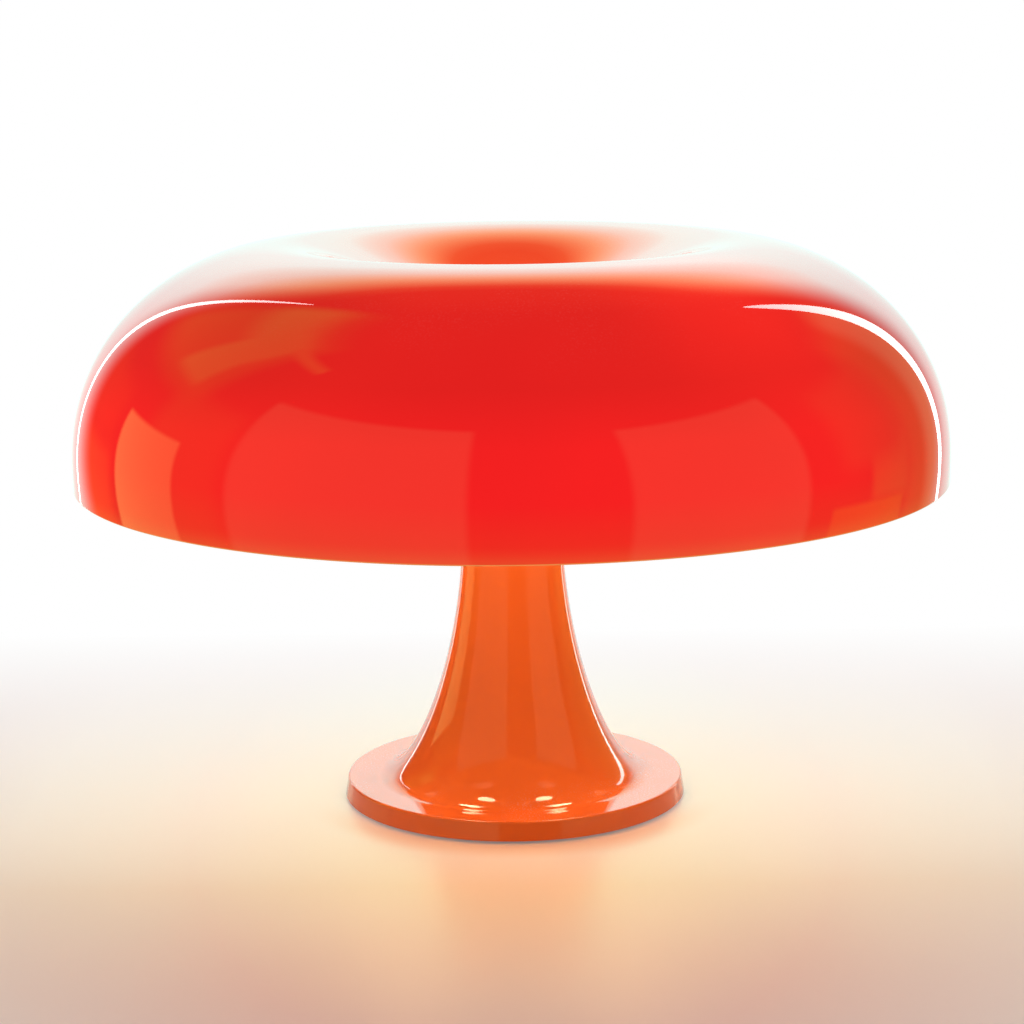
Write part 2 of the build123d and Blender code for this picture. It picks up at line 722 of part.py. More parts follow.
# Lampholders: a front sleeve with its partition, and the brass shell that grips the bulb's cap
for number in holder_numbers:
    with BuildPart() as lampholder:
        with BuildSketch(section_plane(number)):
            with BuildLine():
                Polyline(
                    (0, partition_back), (holder_radius, partition_back), (holder_radius, holder_mouth),
                    (shell_radius + pin_gap, holder_mouth), (shell_radius + pin_gap, partition_front),
                    (0, partition_front), (0, partition_back),
                )
            make_face()
        revolve(axis=holder_axis(number))
        with BuildSketch(face_plane(number, partition_back)):
            with Locations((contact_pin_place, 0)):
                Circle(contact_pin_radius + pin_gap)
            with Locations((-shell_rivet_place, 0)):
                Circle(shell_rivet_radius + pin_gap)
        extrude(amount=partition_thickness, mode=Mode.SUBTRACT)
        outer_rims = lampholder.edges().filter_by(GeomType.CIRCLE).sort_by(SortBy.RADIUS)[-2:]
        fillet(outer_rims, holder_edge)
    lampholder.part.label = f"lampholder_{number}"
    export_step(lampholder.part, f"parts/lampholder_{number}.step")

    with BuildPart() as socket_shell:
        with BuildSketch(section_plane(number)):
            with BuildLine():
                shell_end = holder_mouth - shell_recess
                shell_floor = partition_front + shell_wall
                Polyline(
                    (shell_floor_bore, partition_front), (shell_radius, partition_front),
                    (shell_radius, shell_end), (shell_bore, shell_end), (shell_bore, shell_floor),
                    (shell_floor_bore, shell_floor), (shell_floor_bore, partition_front),
                )
            make_face()
        revolve(axis=holder_axis(number))
        with BuildSketch(face_plane(number, partition_back)):
            with Locations((-shell_rivet_place, 0)):
                Circle(shell_rivet_radius)
        extrude(amount=partition_thickness)
        with BuildSketch(face_plane(number, plate_back)):
            with Locations((-plate_parting, 0)):
                Rectangle(shell_plate_height, plate_width, align=(Align.MAX, Align.CENTER))
        extrude(amount=plate_thickness)
    socket_shell.part.label = f"socket_shell_{number}"
    export_step(socket_shell.part, f"parts/socket_shell_{number}.step")

# Rear caps of the lampholders, each with its nipple through the hub's flat, and the nuts inside the hub
with BuildPart() as holder_caps:
    for number in holder_numbers:
        with BuildSketch(section_plane(number)):
            with BuildLine():
                chamber_back = hub_flat + rear_cap_wall
                nipple_end = hub_flat - nipple_reach
                Polyline(
                    (nipple_bore, nipple_end), (nipple_radius, nipple_end), (nipple_radius, hub_flat),
                    (holder_seat_radius, hub_flat), (holder_radius, chamber_back),
                    (holder_radius, partition_back), (chamber_radius, partition_back),
                    (chamber_radius, chamber_back), (nipple_bore, chamber_back), (nipple_bore, nipple_end),
                )
            make_face()
        revolve(axis=holder_axis(number))
holder_caps.part.label = "holder_caps"
export_step(holder_caps.part, "parts/holder_caps.step")

with BuildPart() as holder_nuts:
    for number in holder_numbers:
        with BuildSketch(face_plane(number, hub_inner_flat)):
            RegularPolygon(nipple_nut_flats / 2, 6, major_radius=False)
            Circle(nipple_radius + pin_gap, mode=Mode.SUBTRACT)
        extrude(amount=-nipple_nut_height)
holder_nuts.part.label = "holder_nuts"
export_step(holder_nuts.part, "parts/holder_nuts.step")

with BuildPart() as centre_contacts:
    for number in holder_numbers:
        with BuildSketch(face_plane(number, partition_front)):
            Circle(contact_radius)
        extrude(amount=contact_height)
        with BuildSketch(face_plane(number, partition_back)):
            with Locations((contact_pin_place, 0)):
                Circle(contact_pin_radius)
        extrude(amount=partition_thickness)
        with BuildSketch(face_plane(number, plate_back)):
            with Locations((plate_parting, 0)):
                Rectangle(contact_plate_height, plate_width, align=(Align.MIN, Align.CENTER))
        extrude(amount=plate_thickness)
centre_contacts.part.label = "centre_contacts"
export_step(centre_contacts.part, "parts/centre_contacts.step")

# Bulbs: golf-ball bulbs with a small screw cap, drawn from the tip outwards
tangent = Vector(sin(radians(ball_angle)), -cos(radians(ball_angle)))
tangent_direction = Vector(cos(radians(ball_angle)), sin(radians(ball_angle)))
ball_place = bulb_start + bulb_length - bulb_radius
glass_neck = bulb_cap_radius - bulb_cap_wall - pin_gap
for number in holder_numbers:
    with BuildPart() as bulb_glass:
        with BuildSketch(section_plane(number)):
            with BuildLine():
                neck_end = bulb_start + bulb_cap_end
                outer_join = Vector(0, ball_place) + tangent * bulb_radius
                inner_join = Vector(0, ball_place) + tangent * (bulb_radius - glass_wall)
                inner_neck_radius = glass_neck - glass_wall
                floor_top = bulb_start + glass_start + 2 * glass_wall
                outer_neck = Line((glass_neck, bulb_start + glass_start), (glass_neck, neck_end))
                outer_bend = Bezier(
                    outer_neck @ 1,
                    (glass_neck, neck_end + neck_pull),
                    outer_join - tangent_direction * ball_pull,
                    outer_join,
                )
                outer_ball = ThreePointArc(
                    outer_bend @ 1, (bulb_radius, ball_place), (0, ball_place + bulb_radius)
                )
                ball_cut = Line(outer_ball @ 1, (0, ball_place + bulb_radius - glass_wall))
                inner_ball = ThreePointArc(
                    ball_cut @ 1, (bulb_radius - glass_wall, ball_place), inner_join
                )
                inner_bend = Bezier(
                    inner_ball @ 1,
                    inner_join - tangent_direction * ball_pull,
                    (inner_neck_radius, neck_end + neck_pull),
                    (inner_neck_radius, neck_end),
                )
                Polyline(
                    inner_bend @ 1, (inner_neck_radius, floor_top), (stem_radius, floor_top),
                    (stem_radius, bulb_start + stem_top), (0, bulb_start + stem_top),
                    (0, bulb_start + glass_start), outer_neck @ 0,
                )
            make_face()
        revolve(axis=holder_axis(number))
    bulb_glass.part.label = f"bulb_{number}_glass"
    export_step(bulb_glass.part, f"parts/bulb_{number}_glass.step")

    with BuildPart() as bulb_cap:
        with BuildSketch(face_plane(number, bulb_start + bulb_cap_start)):
            Circle(bulb_cap_radius)
            Circle(bulb_cap_radius - bulb_cap_wall, mode=Mode.SUBTRACT)
        extrude(amount=bulb_cap_end - bulb_cap_start)
    bulb_cap.part.label = f"bulb_{number}_cap"
    export_step(bulb_cap.part, f"parts/bulb_{number}_cap.step")

    with BuildPart() as bulb_insulator:
        with BuildSketch(section_plane(number)):
            with BuildLine():
                cap_edge_place = bulb_start + bulb_cap_start
                tip_end = bulb_start + bulb_tip_height
                Polyline(
                    (0, tip_end), (insulator_radius, tip_end), (glass_neck, cap_edge_place),
                    (glass_neck, cap_edge_place + insulator_collar),
                    (0, cap_edge_place + insulator_collar), (0, tip_end),
                )
            make_face()
        revolve(axis=holder_axis(number))
    bulb_insulator.part.label = f"bulb_{number}_insulator"
    export_step(bulb_insulator.part, f"parts/bulb_{number}_insulator.step")

    with BuildPart() as bulb_tip:
        with BuildSketch(face_plane(number, bulb_start)):
            Circle(bulb_tip_radius)
        extrude(amount=bulb_tip_height)
    bulb_tip.part.label = f"bulb_{number}_tip"
    export_step(bulb_tip.part, f"parts/bulb_{number}_tip.step")

    with BuildPart() as filament:
        with BuildLine() as wire:
            foot = bulb_start + stem_top
            reach = bulb_start + filament_reach
            FilletPolyline(
                beside_holder(number, 0, foot, -filament_foot),
                beside_holder(number, 0, reach, -filament_spread),
                beside_holder(number, 0, reach, filament_spread),
                beside_holder(number, 0, foot, filament_foot),
                radius=filament_bend,
            )
        with BuildSketch(Plane(origin=wire.line @ 0, z_dir=wire.line % 0)):
            Circle(filament_radius)
        sweep()
    filament.part.label = f"bulb_{number}_filament"
    export_step(filament.part, f"parts/bulb_{number}_filament.step")

# Riser leads from the terminal block up the stem to the first lampholder
for name, side, up, out, bend in (
    ("live_riser", -1, lead_offset, live_riser_out, live_riser_bend),
    ("neutral_riser", 1, -lead_offset, live_riser_out + riser_spacing, neutral_riser_bend),
):
    rise = beside_holder(1, up, out, -lead_offset)
    riser = lead(
        [
            (side * terminal_spacing / 2, block_back, terminal_height),
            (side * terminal_spacing / 2, riser_back, terminal_height),
            (side * terminal_spacing / 2, riser_back, riser_straight_top),
            (rise.X, rise.Y, riser_straight_bottom),
            rise,
            beside_holder(1, up, plate_back, -lead_offset),
        ],
        [terminal_bend, riser_sweep, riser_sweep, bend],
    )
    riser.label = name
    export_step(riser, f"parts/{name}.step")

# Jumper leads that go on from each lampholder to the next
for name, up in (("live_jumpers", lead_offset), ("neutral_jumpers", -lead_offset)):
    with BuildPart() as jumpers:
        for number in holder_numbers[:-1]:
            add(
                lead(
                    [
                        beside_holder(number, up, plate_back, lead_offset),
                        beside_holder(number, up, lead_corner, lead_offset),
                        beside_holder(number + 1, up, lead_corner, -lead_offset),
                        beside_holder(number + 1, up, plate_back, -lead_offset),
                    ],
                    lead_bend,
                )
            )
    jumpers.part.label = name
    export_step(jumpers.part, f"parts/{name}.step")
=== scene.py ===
"""Dome table lamp: the finish of every piece, the finer meshes and the studio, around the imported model.

Lengths are in metres. +Z is up, the front is towards -Y, and "out" is the distance from the lamp's axis.
"""

import json
from math import cos, pi, radians, sin

import bmesh
import bpy
from bpy.props import FloatProperty, FloatVectorProperty, IntProperty, PointerProperty
from mathutils import Matrix, Vector


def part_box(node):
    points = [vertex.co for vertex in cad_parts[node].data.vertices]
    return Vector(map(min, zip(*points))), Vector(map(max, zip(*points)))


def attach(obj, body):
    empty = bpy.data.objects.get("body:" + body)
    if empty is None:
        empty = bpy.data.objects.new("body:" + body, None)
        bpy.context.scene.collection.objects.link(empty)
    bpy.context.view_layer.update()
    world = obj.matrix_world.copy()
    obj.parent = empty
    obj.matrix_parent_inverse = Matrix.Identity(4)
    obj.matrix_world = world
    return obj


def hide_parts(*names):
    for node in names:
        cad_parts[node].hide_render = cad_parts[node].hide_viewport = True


bl_info = {
    "name": "Dome Table Lamp",
    "version": (1, 0, 0),
    "blender": (4, 5, 0),
    "location": "3D View > Sidebar > Lamp",
    "description": "Dresses the dome table lamp and sets up its studio",
    "category": "Object",
}

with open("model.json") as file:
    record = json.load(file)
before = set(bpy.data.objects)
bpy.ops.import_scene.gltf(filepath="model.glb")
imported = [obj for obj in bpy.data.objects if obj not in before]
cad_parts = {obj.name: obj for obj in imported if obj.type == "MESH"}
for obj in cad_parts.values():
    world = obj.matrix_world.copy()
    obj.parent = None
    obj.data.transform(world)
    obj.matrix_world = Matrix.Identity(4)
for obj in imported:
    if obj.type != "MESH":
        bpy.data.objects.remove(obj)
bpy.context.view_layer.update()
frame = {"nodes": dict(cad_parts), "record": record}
BULB_NUMBERS = range(1, 5)

# A bent wall's inner curve has its pulls changed by this share of the wall
BEND_SHARE = 0.55
# Points round each corner of the shade's rim
RIM_STEPS = 4

WHITE = (1.0, 1.0, 1.0)
DUST = (0.55, 0.52, 0.48)
# What the glossy plastics of the shade and the base share
GLOSS = {"roughness": 0.3, "specular_ior_level": 0.0, "coat_weight": 1.0, "coat_ior": 1.5}

# Long oval lights: name, place on the floor, width, lowest and highest point
STRIPS = (
    ("strip_right", (1.36, 1.44), 0.15, -0.45, 2.42),
    ("strip_left", (-1.23, 1.733), 0.06, -0.8, 2.85),
)

# The backdrop that glossy surfaces see behind the lamp: its light at each elevation in degrees, where it
# starts to fade and ends to either side, and how much its sides lean in with the elevation
BACKDROP = (
    (-20, (0.9, 1.3, 1.2)), (0, (0.9, 1.36, 1.3)), (10, (0.9, 1.84, 1.77)), (20, (0.9, 2.72, 2.58)),
    (29, (1.0, 2.7, 2.35)), (34, (1.2, 2.25, 1.55)), (38, (1.15, 1.7, 0.9)), (42, (0.9, 1.0, 0.45)),
    (46, (0.35, 0.25, 0.1)), (50, (0.03, 0.03, 0.03)),
)
BACKDROP_SIDES = (26, 43)
BACKDROP_LEAN = 0.25

# Panels and lit walls that glossy surfaces see: left and right edge in degrees from behind the lamp, lower
# and upper edge, softness of the edges and light
PANELS = (
    (100.5, 150, -60, 38, 1.5, (0.35, 0.5, 0.27)),
    (-169, -104, -60, 40.3, 1.5, (0.35, 0.52, 0.27)),
    (-102, -72, -60, 30, 5.0, (0.05, 0.2, 0.05)),
    (-85.5, -60, -60, 12.6, 1.0, (1.4, 1.2, 0.35)),
    (-57, -33, -60, 0, 4.0, (1.0, 0.2, 0.05)),
    (-57, -33, 0, 16, 4.0, (0.3, 0.08, 0.03)),
    (60, 77, -10.5, 4, 2.0, (0.1, 0.4, 0.08)),
    (62, 92, -60, -10.5, 1.0, (0.5, 0.5, 0.05)),
    (60, 88, 0, 30, 5.0, (0.05, 0.2, 0.06)),
    (38, 62, -60, 35, 6.0, (0.3, 0.3, 0.07)),
    (36, 48, -60, 35, 4.0, (0.5, 0.6, 0.25)),
    (-80, -34, 27, 62, 5.0, (0.0, 0.3, 0.05)),
    (-74, -34, 46, 58, 4.0, (0.0, 0.75, 0.12)),
    (-73, -57, 31, 57, 2.5, (0.0, 0.75, 0.12)),
    (-98, -72, 54.5, 57.5, 1.5, (0.2, 0.6, 0.1)),
)

# Where the bulbs light the shade more or less than elsewhere: middle, reach and level
GLOW_PATCHES = (
    ((-0.26, -0.08, 0.25), 0.14, 1.3),
    ((0.235, -0.12, 0.265), 0.10, 0.75),
    ((0.125, -0.16, 0.335), 0.10, 1.3),
    ((-0.125, -0.17, 0.325), 0.09, 0.82),
)

# The floor: half its side, how far its colours, a painted pool of the lamp's warm light, reach, where on that
# way each is full, and how much the way to the front and back counts, since the colours lie in ovals
FLOOR_HALF = 60.0
FLOOR_LIGHT_REACH = 0.4
FLOOR_LIGHT_PLACES = (0.25, 0.5, 0.76)
FLOOR_LIGHT_OVAL = 0.45
# Where the disc's orange glow, a painted reflection and bounce of its light, lies on the floor: out from the
# axis, and towards the front
DISC_GLOW_OUT = (0.138, 0.108)
DISC_GLOW_FRONT = (-0.02, -0.09)
# Where the floor's sheen ends, where it turns white behind the lamp and all round, and where glossy surfaces
# stop seeing it
SHEEN_OUT = (0.45, 0.2)
WHITE_BEHIND = (-0.18, 0.42)
WHITE_OUT = (0.6, 1.15)
MIRRORED_OUT = (0.3, 0.5)


def top_of(node):
    """The height of a node's highest point."""
    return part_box(node)[1].z


def bottom_of(node):
    """The height of a node's lowest point."""
    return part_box(node)[0].z


def colour_property(name, description, default):
    """A colour that the user can change."""
    return FloatVectorProperty(
        name=name, description=description, default=default, subtype="COLOR", size=3, min=0.0, max=1.0
    )


def length(name, description, default):
    """A length in metres that the user can change."""
    return FloatProperty(
        name=name, description=description, default=default, unit="LENGTH", subtype="DISTANCE", precision=4
    )


class LampSizes(bpy.types.PropertyGroup):
    """Sizes of the meshes that stand in for plain nodes of the model."""

    segments: IntProperty(name="Segments", description="Sides of a large turned piece", default=256, min=32)
    small_segments: IntProperty(name="Small segments", description="Sides of a small piece", default=64)
    curve_steps: IntProperty(name="Curve steps", description="Points along a curve of a profile", default=48)
    shade_radius: length("Shade radius", "Outer radius of the shade's side", 0.26991)
    shade_rim: length("Shade rim", "Height of the shade's lower edge", bottom_of("shade"))
    shade_top: length("Shade top", "Height of the shade's crest", top_of("shade"))
    shade_side: length("Shade side", "Height of the straight part above the rim", 0.015)
    shade_wall: length("Shade wall", "Thickness of the shade", 0.003)
    shade_edge: length("Shade edge", "Rounding of the rim", 0.001)
    shoulder_side_pull: length("Shoulder side pull", "How far the shoulder keeps upright", 0.085)
    shoulder_crest_pull: length("Shoulder crest pull", "How far the shoulder keeps level", 0.0515)
    crest_radius: length("Crest radius", "Radius of the highest circle", 0.143)
    dish_depth: length("Dish depth", "Depth of the crater below the crest", 0.040)
    dish_floor_radius: length("Dish floor radius", "Radius of the crater's flat floor", 0.026)
    dish_crest_pull: length("Dish crest pull", "How far the crater keeps level at the top", 0.044)
    dish_floor_pull: length("Dish floor pull", "How far the crater's wall keeps level below", 0.011)
    shade_hole: length("Shade hole", "Radius of the hole in the crater's floor", 0.0103)
    rod_radius: length("Rod radius", "Radius over the tie rod's thread", 0.004)
    rod_pitch: length("Rod pitch", "Pitch of the tie rod's thread", 0.00125)
    rod_thread_depth: length("Rod thread depth", "Depth of the tie rod's thread", 0.0007)
    rod_thread_length: length("Rod thread length", "Length of the thread at each end", 0.03)
    cap_radius: length("Bulb cap radius", "Radius over the bulb cap's thread", 0.00695)
    cap_bore: length("Bulb cap bore", "Inner radius of the bulb cap", 0.00663)
    cap_start: length("Bulb cap start", "Where the cap starts, out from the lamp's axis", 0.0510)
    cap_end: length("Bulb cap end", "Where the cap ends, out from the lamp's axis", 0.0712)
    cap_lip: length("Bulb cap lip", "Height of the cap's rolled lower lip", 0.0006)
    cap_thread_end: length("Bulb cap thread end", "Where the cap's thread ends", 0.0662)
    cap_pitch: length("Bulb cap pitch", "Pitch of the bulb cap's thread", 0.00282)
    cap_thread_depth: length("Bulb cap thread depth", "Depth of the bulb cap's thread", 0.00028)
    socket_bore: length("Socket bore", "Inner radius of the socket shell", 0.00725)
    socket_start: length("Socket thread start", "Where the socket's rolled thread starts", 0.0530)
    socket_end: length("Socket thread end", "Where the socket's rolled thread ends", 0.0646)
    socket_thread_depth: length("Socket thread depth", "Depth of the socket's thread", 0.00022)
    foot_inner: length("Foot inner radius", "Inner radius of the foot ring", 0.0918)
    foot_outer: length("Foot outer radius", "Outer radius of the foot ring", 0.1028)
    foot_top: length("Foot top", "Height of the foot ring's upper face", top_of("foot_ring"))
    foot_groove: length("Foot groove", "Depth of the foot ring's grooves", 0.0006)
    foot_groove_width: length("Foot groove width", "Width of the foot ring's grooves", 0.0010)


class LampColours(bpy.types.PropertyGroup):
    """Colours of the finishes, written as linear values."""

    shade_body: colour_property("Shade", "The shade's plastic when it is not lit", (0.45, 0.012, 0.009))
    # Darker than the shade's real plastic, since the inner side's light is painted by the inner glow below
    shade_inner_dimmed: colour_property("Shade inside", "The plastic on its inner side", (0.12, 0.03, 0.012))
    shade_rim_glow: colour_property("Rim glow", "Light through the shade at its rim", (0.62, 0.024, 0.010))
    shade_low_glow: colour_property("Low glow", "Light through the shade by the bulbs", (0.70, 0.008, 0.010))
    shade_high_glow: colour_property("High glow", "Light through the shoulder", (0.57, 0.007, 0.008))
    shade_crest_glow: colour_property("Crest glow", "Light through the crest", (0.68, 0.018, 0.010))
    shade_dish_glow: colour_property("Dish glow", "Light through the crater's wall", (0.66, 0.045, 0.014))
    shade_inner_glow: colour_property("Inner glow", "The lit inner side of the shade", (0.70, 0.22, 0.05))
    bulb_halo: colour_property("Bulb halo", "Added glow of the shade near a bulb", (0.16, 0.05, 0.006))
    base_plastic: colour_property("Base", "The base's plastic", (0.79, 0.147, 0.024))
    cap_plastic: colour_property("Cap nut", "The cap nut's plastic", (0.62, 0.05, 0.015))
    bulb_light: colour_property("Bulb light", "The light of the bulbs", (1.0, 0.71, 0.41))
    bulb_look: colour_property("Bulb look", "The lit glass as the camera sees it", (1.0, 0.80, 0.50))
    # The floor's far, middle and near colours form a painted pool of the lamp's warm light round it
    floor_far: colour_property("Floor", "The floor away from the lamp", (1.0, 0.88, 0.80))
    # Painted orange glow: the disc's reflection and bounced light on the floor in front of it
    floor_painted_disc_glow: colour_property("Floor glow", "The floor tinted by the disc in front", (0.80, 0.45, 0.10))
    floor_painted_light_fade: colour_property("Floor middle", "The floor where the light fades", (0.90, 0.68, 0.62))
    floor_painted_light_near: colour_property("Floor near", "The floor in the lamp's light", (0.83, 0.77, 0.60))


class LampStudio(bpy.types.PropertyGroup):
    """The camera, the lights and what the glossy surfaces reflect."""

    lens: FloatProperty(name="Lens", description="Focal length in millimetres", default=89.94, unit="CAMERA")
    camera_back: length("Camera distance", "Distance of the camera in front of the lamp", 1.5689)
    camera_height: length("Camera height", "Height of the camera", 0.4963)
    camera_pitch: FloatProperty(
        name="Camera pitch", description="Tilt below the horizon", default=radians(11.375), subtype="ANGLE"
    )
    camera_roll: FloatProperty(
        name="Camera roll", description="Turn about the line of sight", default=radians(-0.640),
        subtype="ANGLE",
    )
    fill: FloatProperty(name="Fill", description="Strength of the soft light from all round", default=0.52)
    front: FloatProperty(name="Front", description="Strength of the dark front in reflections", default=0.03)
    strip: FloatProperty(name="Strip", description="Radiance of the strip lights", default=6.5)
    bulb: FloatProperty(name="Bulb", description="Radiance of the bulbs", default=26.0)
    floor_drop: length("Floor drop", "Gap between the floor and the feet", 0.0003)


def socket_name(key):
    """The name of a socket, from a keyword."""
    return key.replace("_", " ").title().replace("Ior", "IOR")


class Nodes:
    """Adds nodes to a tree and wires them, so that a material reads from its texture to its shader."""

    columns = 8
    column_width = 220
    row_height = 300

    def __init__(self, tree, material=None):
        self.tree = tree
        self.material = material
        self.coordinates = None

    def add(self, kind, inputs=None, **settings):
        """A node with its settings, and with a value or a link for each named or numbered input."""
        node = self.tree.nodes.new(kind)
        row, column = divmod(len(self.tree.nodes), self.columns)
        node.location = (self.column_width * column, -self.row_height * row)
        for name, value in settings.items():
            setattr(node, name, value)
        for key, value in (inputs or {}).items():
            self.feed(node.inputs[key], value)
        return node

    def feed(self, socket, value):
        """Links an output to a socket, or sets the socket's own value."""
        if isinstance(value, bpy.types.NodeSocket):
            self.tree.links.new(value, socket)
        elif socket.type == "RGBA":
            socket.default_value = (*value, 1.0)
        else:
            socket.default_value = value

    def feed_all(self, sockets, **values):
        """Feeds the sockets that the keywords name."""
        for key, value in values.items():
            self.feed(sockets[socket_name(key)], value)

    def surface(self, **values):
        """Feeds the sockets of the Principled shader, and gives back the material."""
        self.feed_all(self.tree.nodes["Principled BSDF"].inputs, **values)
        return self.material

    @property
    def place(self):
        """The outputs of the tree's one node for coordinates."""
        if self.coordinates is None:
            self.coordinates = self.add("ShaderNodeTexCoord").outputs
        return self.coordinates

    def math(self, operation, *values, clamp=False):
        """One step of arithmetic."""
        inputs = dict(enumerate(values))
        return self.add("ShaderNodeMath", inputs, operation=operation, use_clamp=clamp).outputs[0]

    def product(self, first, *others):
        """Values multiplied with one another."""
        for other in others:
            first = self.math("MULTIPLY", first, other)
        return first

    def vector(self, operation, *values, output="Vector", **named):
        """One step of arithmetic on vectors."""
        inputs = {**dict(enumerate(values)), **named}
        return self.add("ShaderNodeVectorMath", inputs, operation=operation).outputs[output]

    def parts(self, vector):
        """The X, Y and Z of a vector."""
        return self.add("ShaderNodeSeparateXYZ", {"Vector": vector}).outputs

    def between(self, value, low, high, start=0.0, end=1.0):
        """A smooth step from start to end while the value goes from low to high."""
        inputs = {"Value": value, "From Min": low, "From Max": high, "To Min": start, "To Max": end}
        return self.add("ShaderNodeMapRange", inputs, interpolation_type="SMOOTHSTEP").outputs["Result"]

    def spread(self, noise, start, end):
        """Noise, which mostly keeps to 0.3 to 0.7, made to run from start to end."""
        return self.between(noise, 0.3, 0.7, start, end)

    def straight(self, value, low, high):
        """0 to 1 in a straight line while the value goes from low to high."""
        inputs = {"Value": value, "From Min": low, "From Max": high}
        return self.add("ShaderNodeMapRange", inputs).outputs["Result"]

    def mix(self, factor, first, second, blend="MIX"):
        """Two colours mixed by a factor."""
        node = self.add("ShaderNodeMix", data_type="RGBA", blend_type=blend)
        for socket, value in zip((node.inputs[0], node.inputs[6], node.inputs[7]), (factor, first, second)):
            self.feed(socket, value)
        return node.outputs[2]

    def toned(self, colour, noise, start, end):
        """A colour that noise makes darker and lighter."""
        return self.vector("SCALE", colour, Scale=self.spread(noise, start, end))

    def ramp(self, value, stops):
        """A colour ramp from (place, colour) pairs."""
        node = self.add("ShaderNodeValToRGB", {"Fac": value})
        elements = node.color_ramp.elements
        while len(elements) < len(stops):
            elements.new(0.5)
        for element, (place, _) in zip(elements, stops):
            element.position = place
        for element, (_, colour) in zip(elements, stops):
            element.color = (*colour, 1.0)
        return node.outputs["Color"]

    def noise(self, size, detail=2.0, place=None):
        """Soft noise whose lumps have the given size in metres."""
        inputs = {
            "Vector": place or self.place["Object"],
            "Scale": self.math("DIVIDE", 1.0, size) if isinstance(size, bpy.types.NodeSocket) else 1.0 / size,
            "Detail": detail,
        }
        return self.add("ShaderNodeTexNoise", inputs).outputs["Fac"]

    def group(self, name, **inputs):
        """A shared effect, placed with this material's own values."""
        node = self.add("ShaderNodeGroup")
        node.node_tree = bpy.data.node_groups[name]
        self.feed_all(node.inputs, **inputs)
        return node.outputs

    def bump(self, height, strength, distance):
        """A normal from a height, in metres."""
        inputs = {"Height": height, "Strength": strength, "Distance": distance}
        return self.add("ShaderNodeBump", inputs).outputs[0]

    def level_place(self, oval=1.0):
        """The level part of the rest position, with the way to the front and back counted by a share."""
        return self.vector("MULTIPLY", self.place["Object"], (1.0, oval, 0.0))

    def out(self, oval=1.0):
        """The distance from the lamp's axis at rest."""
        return self.vector("LENGTH", self.level_place(oval), output="Value")

    def height(self):
        """The height above the table at rest."""
        return self.parts(self.place["Object"])["Z"]


def new_group(name, inputs, outputs):
    """A shader node group with named sockets, its nodes, and the sockets on its inner side."""
    tree = bpy.data.node_groups.new(name, "ShaderNodeTree")
    for key, default in inputs.items():
        socket = tree.interface.new_socket(key, in_out="INPUT", socket_type="NodeSocketFloat")
        socket.default_value = default
    for key in outputs:
        tree.interface.new_socket(key, in_out="OUTPUT", socket_type="NodeSocketFloat")
    nodes = Nodes(tree)
    return nodes, nodes.add("NodeGroupInput").outputs, nodes.add("NodeGroupOutput").inputs


def make_moulded_surface():
    """Plastic from a mould: slow changes of tone, a faint ripple and a fine grain."""
    sizes = {"Ripple Size": 0.03, "Grain Size": 0.0006}
    nodes, given, result = new_group("Moulded Surface", sizes, ("Tone", "Ripple", "Grain"))
    nodes.feed_all(
        result,
        tone=nodes.noise(0.12, 3.0),
        ripple=nodes.noise(given["Ripple Size"], 1.0),
        grain=nodes.noise(given["Grain Size"], 3.0),
    )


def make_settled_dust():
    """Dust that lies on what faces up, thicker in patches."""
    nodes, given, result = new_group("Settled Dust", {"Amount": 0.2, "Speck Size": 0.0015}, ("Mask",))
    level = nodes.between(nodes.parts(nodes.place["Normal"])["Z"], 0.55, 1.0)
    thick = nodes.between(nodes.noise(given["Speck Size"], 4.0), 0.5, 0.72)
    patches = nodes.between(nodes.noise(0.05), 0.35, 0.7)
    nodes.feed_all(result, mask=nodes.product(level, thick, patches, given["Amount"]))


def make_drawn_metal():
    """Metal with fine lines along one direction, a mottled tone and darker spots."""
    sizes = {"Line Size": 0.0004, "Along Z": 0.08, "Across": 1.0}
    nodes, given, result = new_group("Drawn Metal", sizes, ("Tone", "Lines", "Spots"))
    stretch = nodes.add("ShaderNodeCombineXYZ", {0: given["Across"], 1: given["Across"], 2: given["Along Z"]})
    stretched = nodes.vector("MULTIPLY", nodes.place["Object"], stretch.outputs[0])
    nodes.feed_all(
        result,
        lines=nodes.noise(given["Line Size"], 2.0, stretched),
        tone=nodes.noise(0.006, 3.0),
        spots=nodes.between(nodes.noise(0.0016, 4.0), 0.62, 0.75),
    )


def bulb_centres():
    """The middle of each bulb's ball."""
    centres = []
    for number in BULB_NUMBERS:
        low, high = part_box(f"bulb_{number}_glass")
        direction = Vector(((low + high).x, (low + high).y, 0)).normalized()
        ball_radius = (high.z - low.z) / 2
        tip = max(Vector((x, y, 0)).dot(direction) for x in (low.x, high.x) for y in (low.y, high.y))
        reach = tip - ball_radius * (abs(direction.x) + abs(direction.y) - 1)
        centres.append(direction * (reach - ball_radius) + Vector((0, 0, (low.z + high.z) / 2)))
    return centres


BULB_CENTRES = bulb_centres()


def make_bulb_glow():
    """How near a point is to the four bulbs: 1 at a bulb, falling to 0 within the reach."""
    nodes, given, result = new_group("Bulb Glow", {"Reach": 0.2}, ("Glow",))
    total = 0.0
    for centre in BULB_CENTRES:
        distance = nodes.vector("DISTANCE", nodes.place["Object"], centre, output="Value")
        share = nodes.math("DIVIDE", distance, given["Reach"])
        near = nodes.math("SUBTRACT", 1.0, share, clamp=True)
        total = nodes.math("ADD", total, nodes.product(near, near))
    nodes.feed_all(result, glow=total)


def new_material(name, **values):
    """The nodes of a new material, with plain values on its one Principled shader's own sockets."""
    material = bpy.data.materials.new(name)
    material.use_nodes = True
    nodes = Nodes(material.node_tree, material)
    nodes.surface(**values)
    return nodes


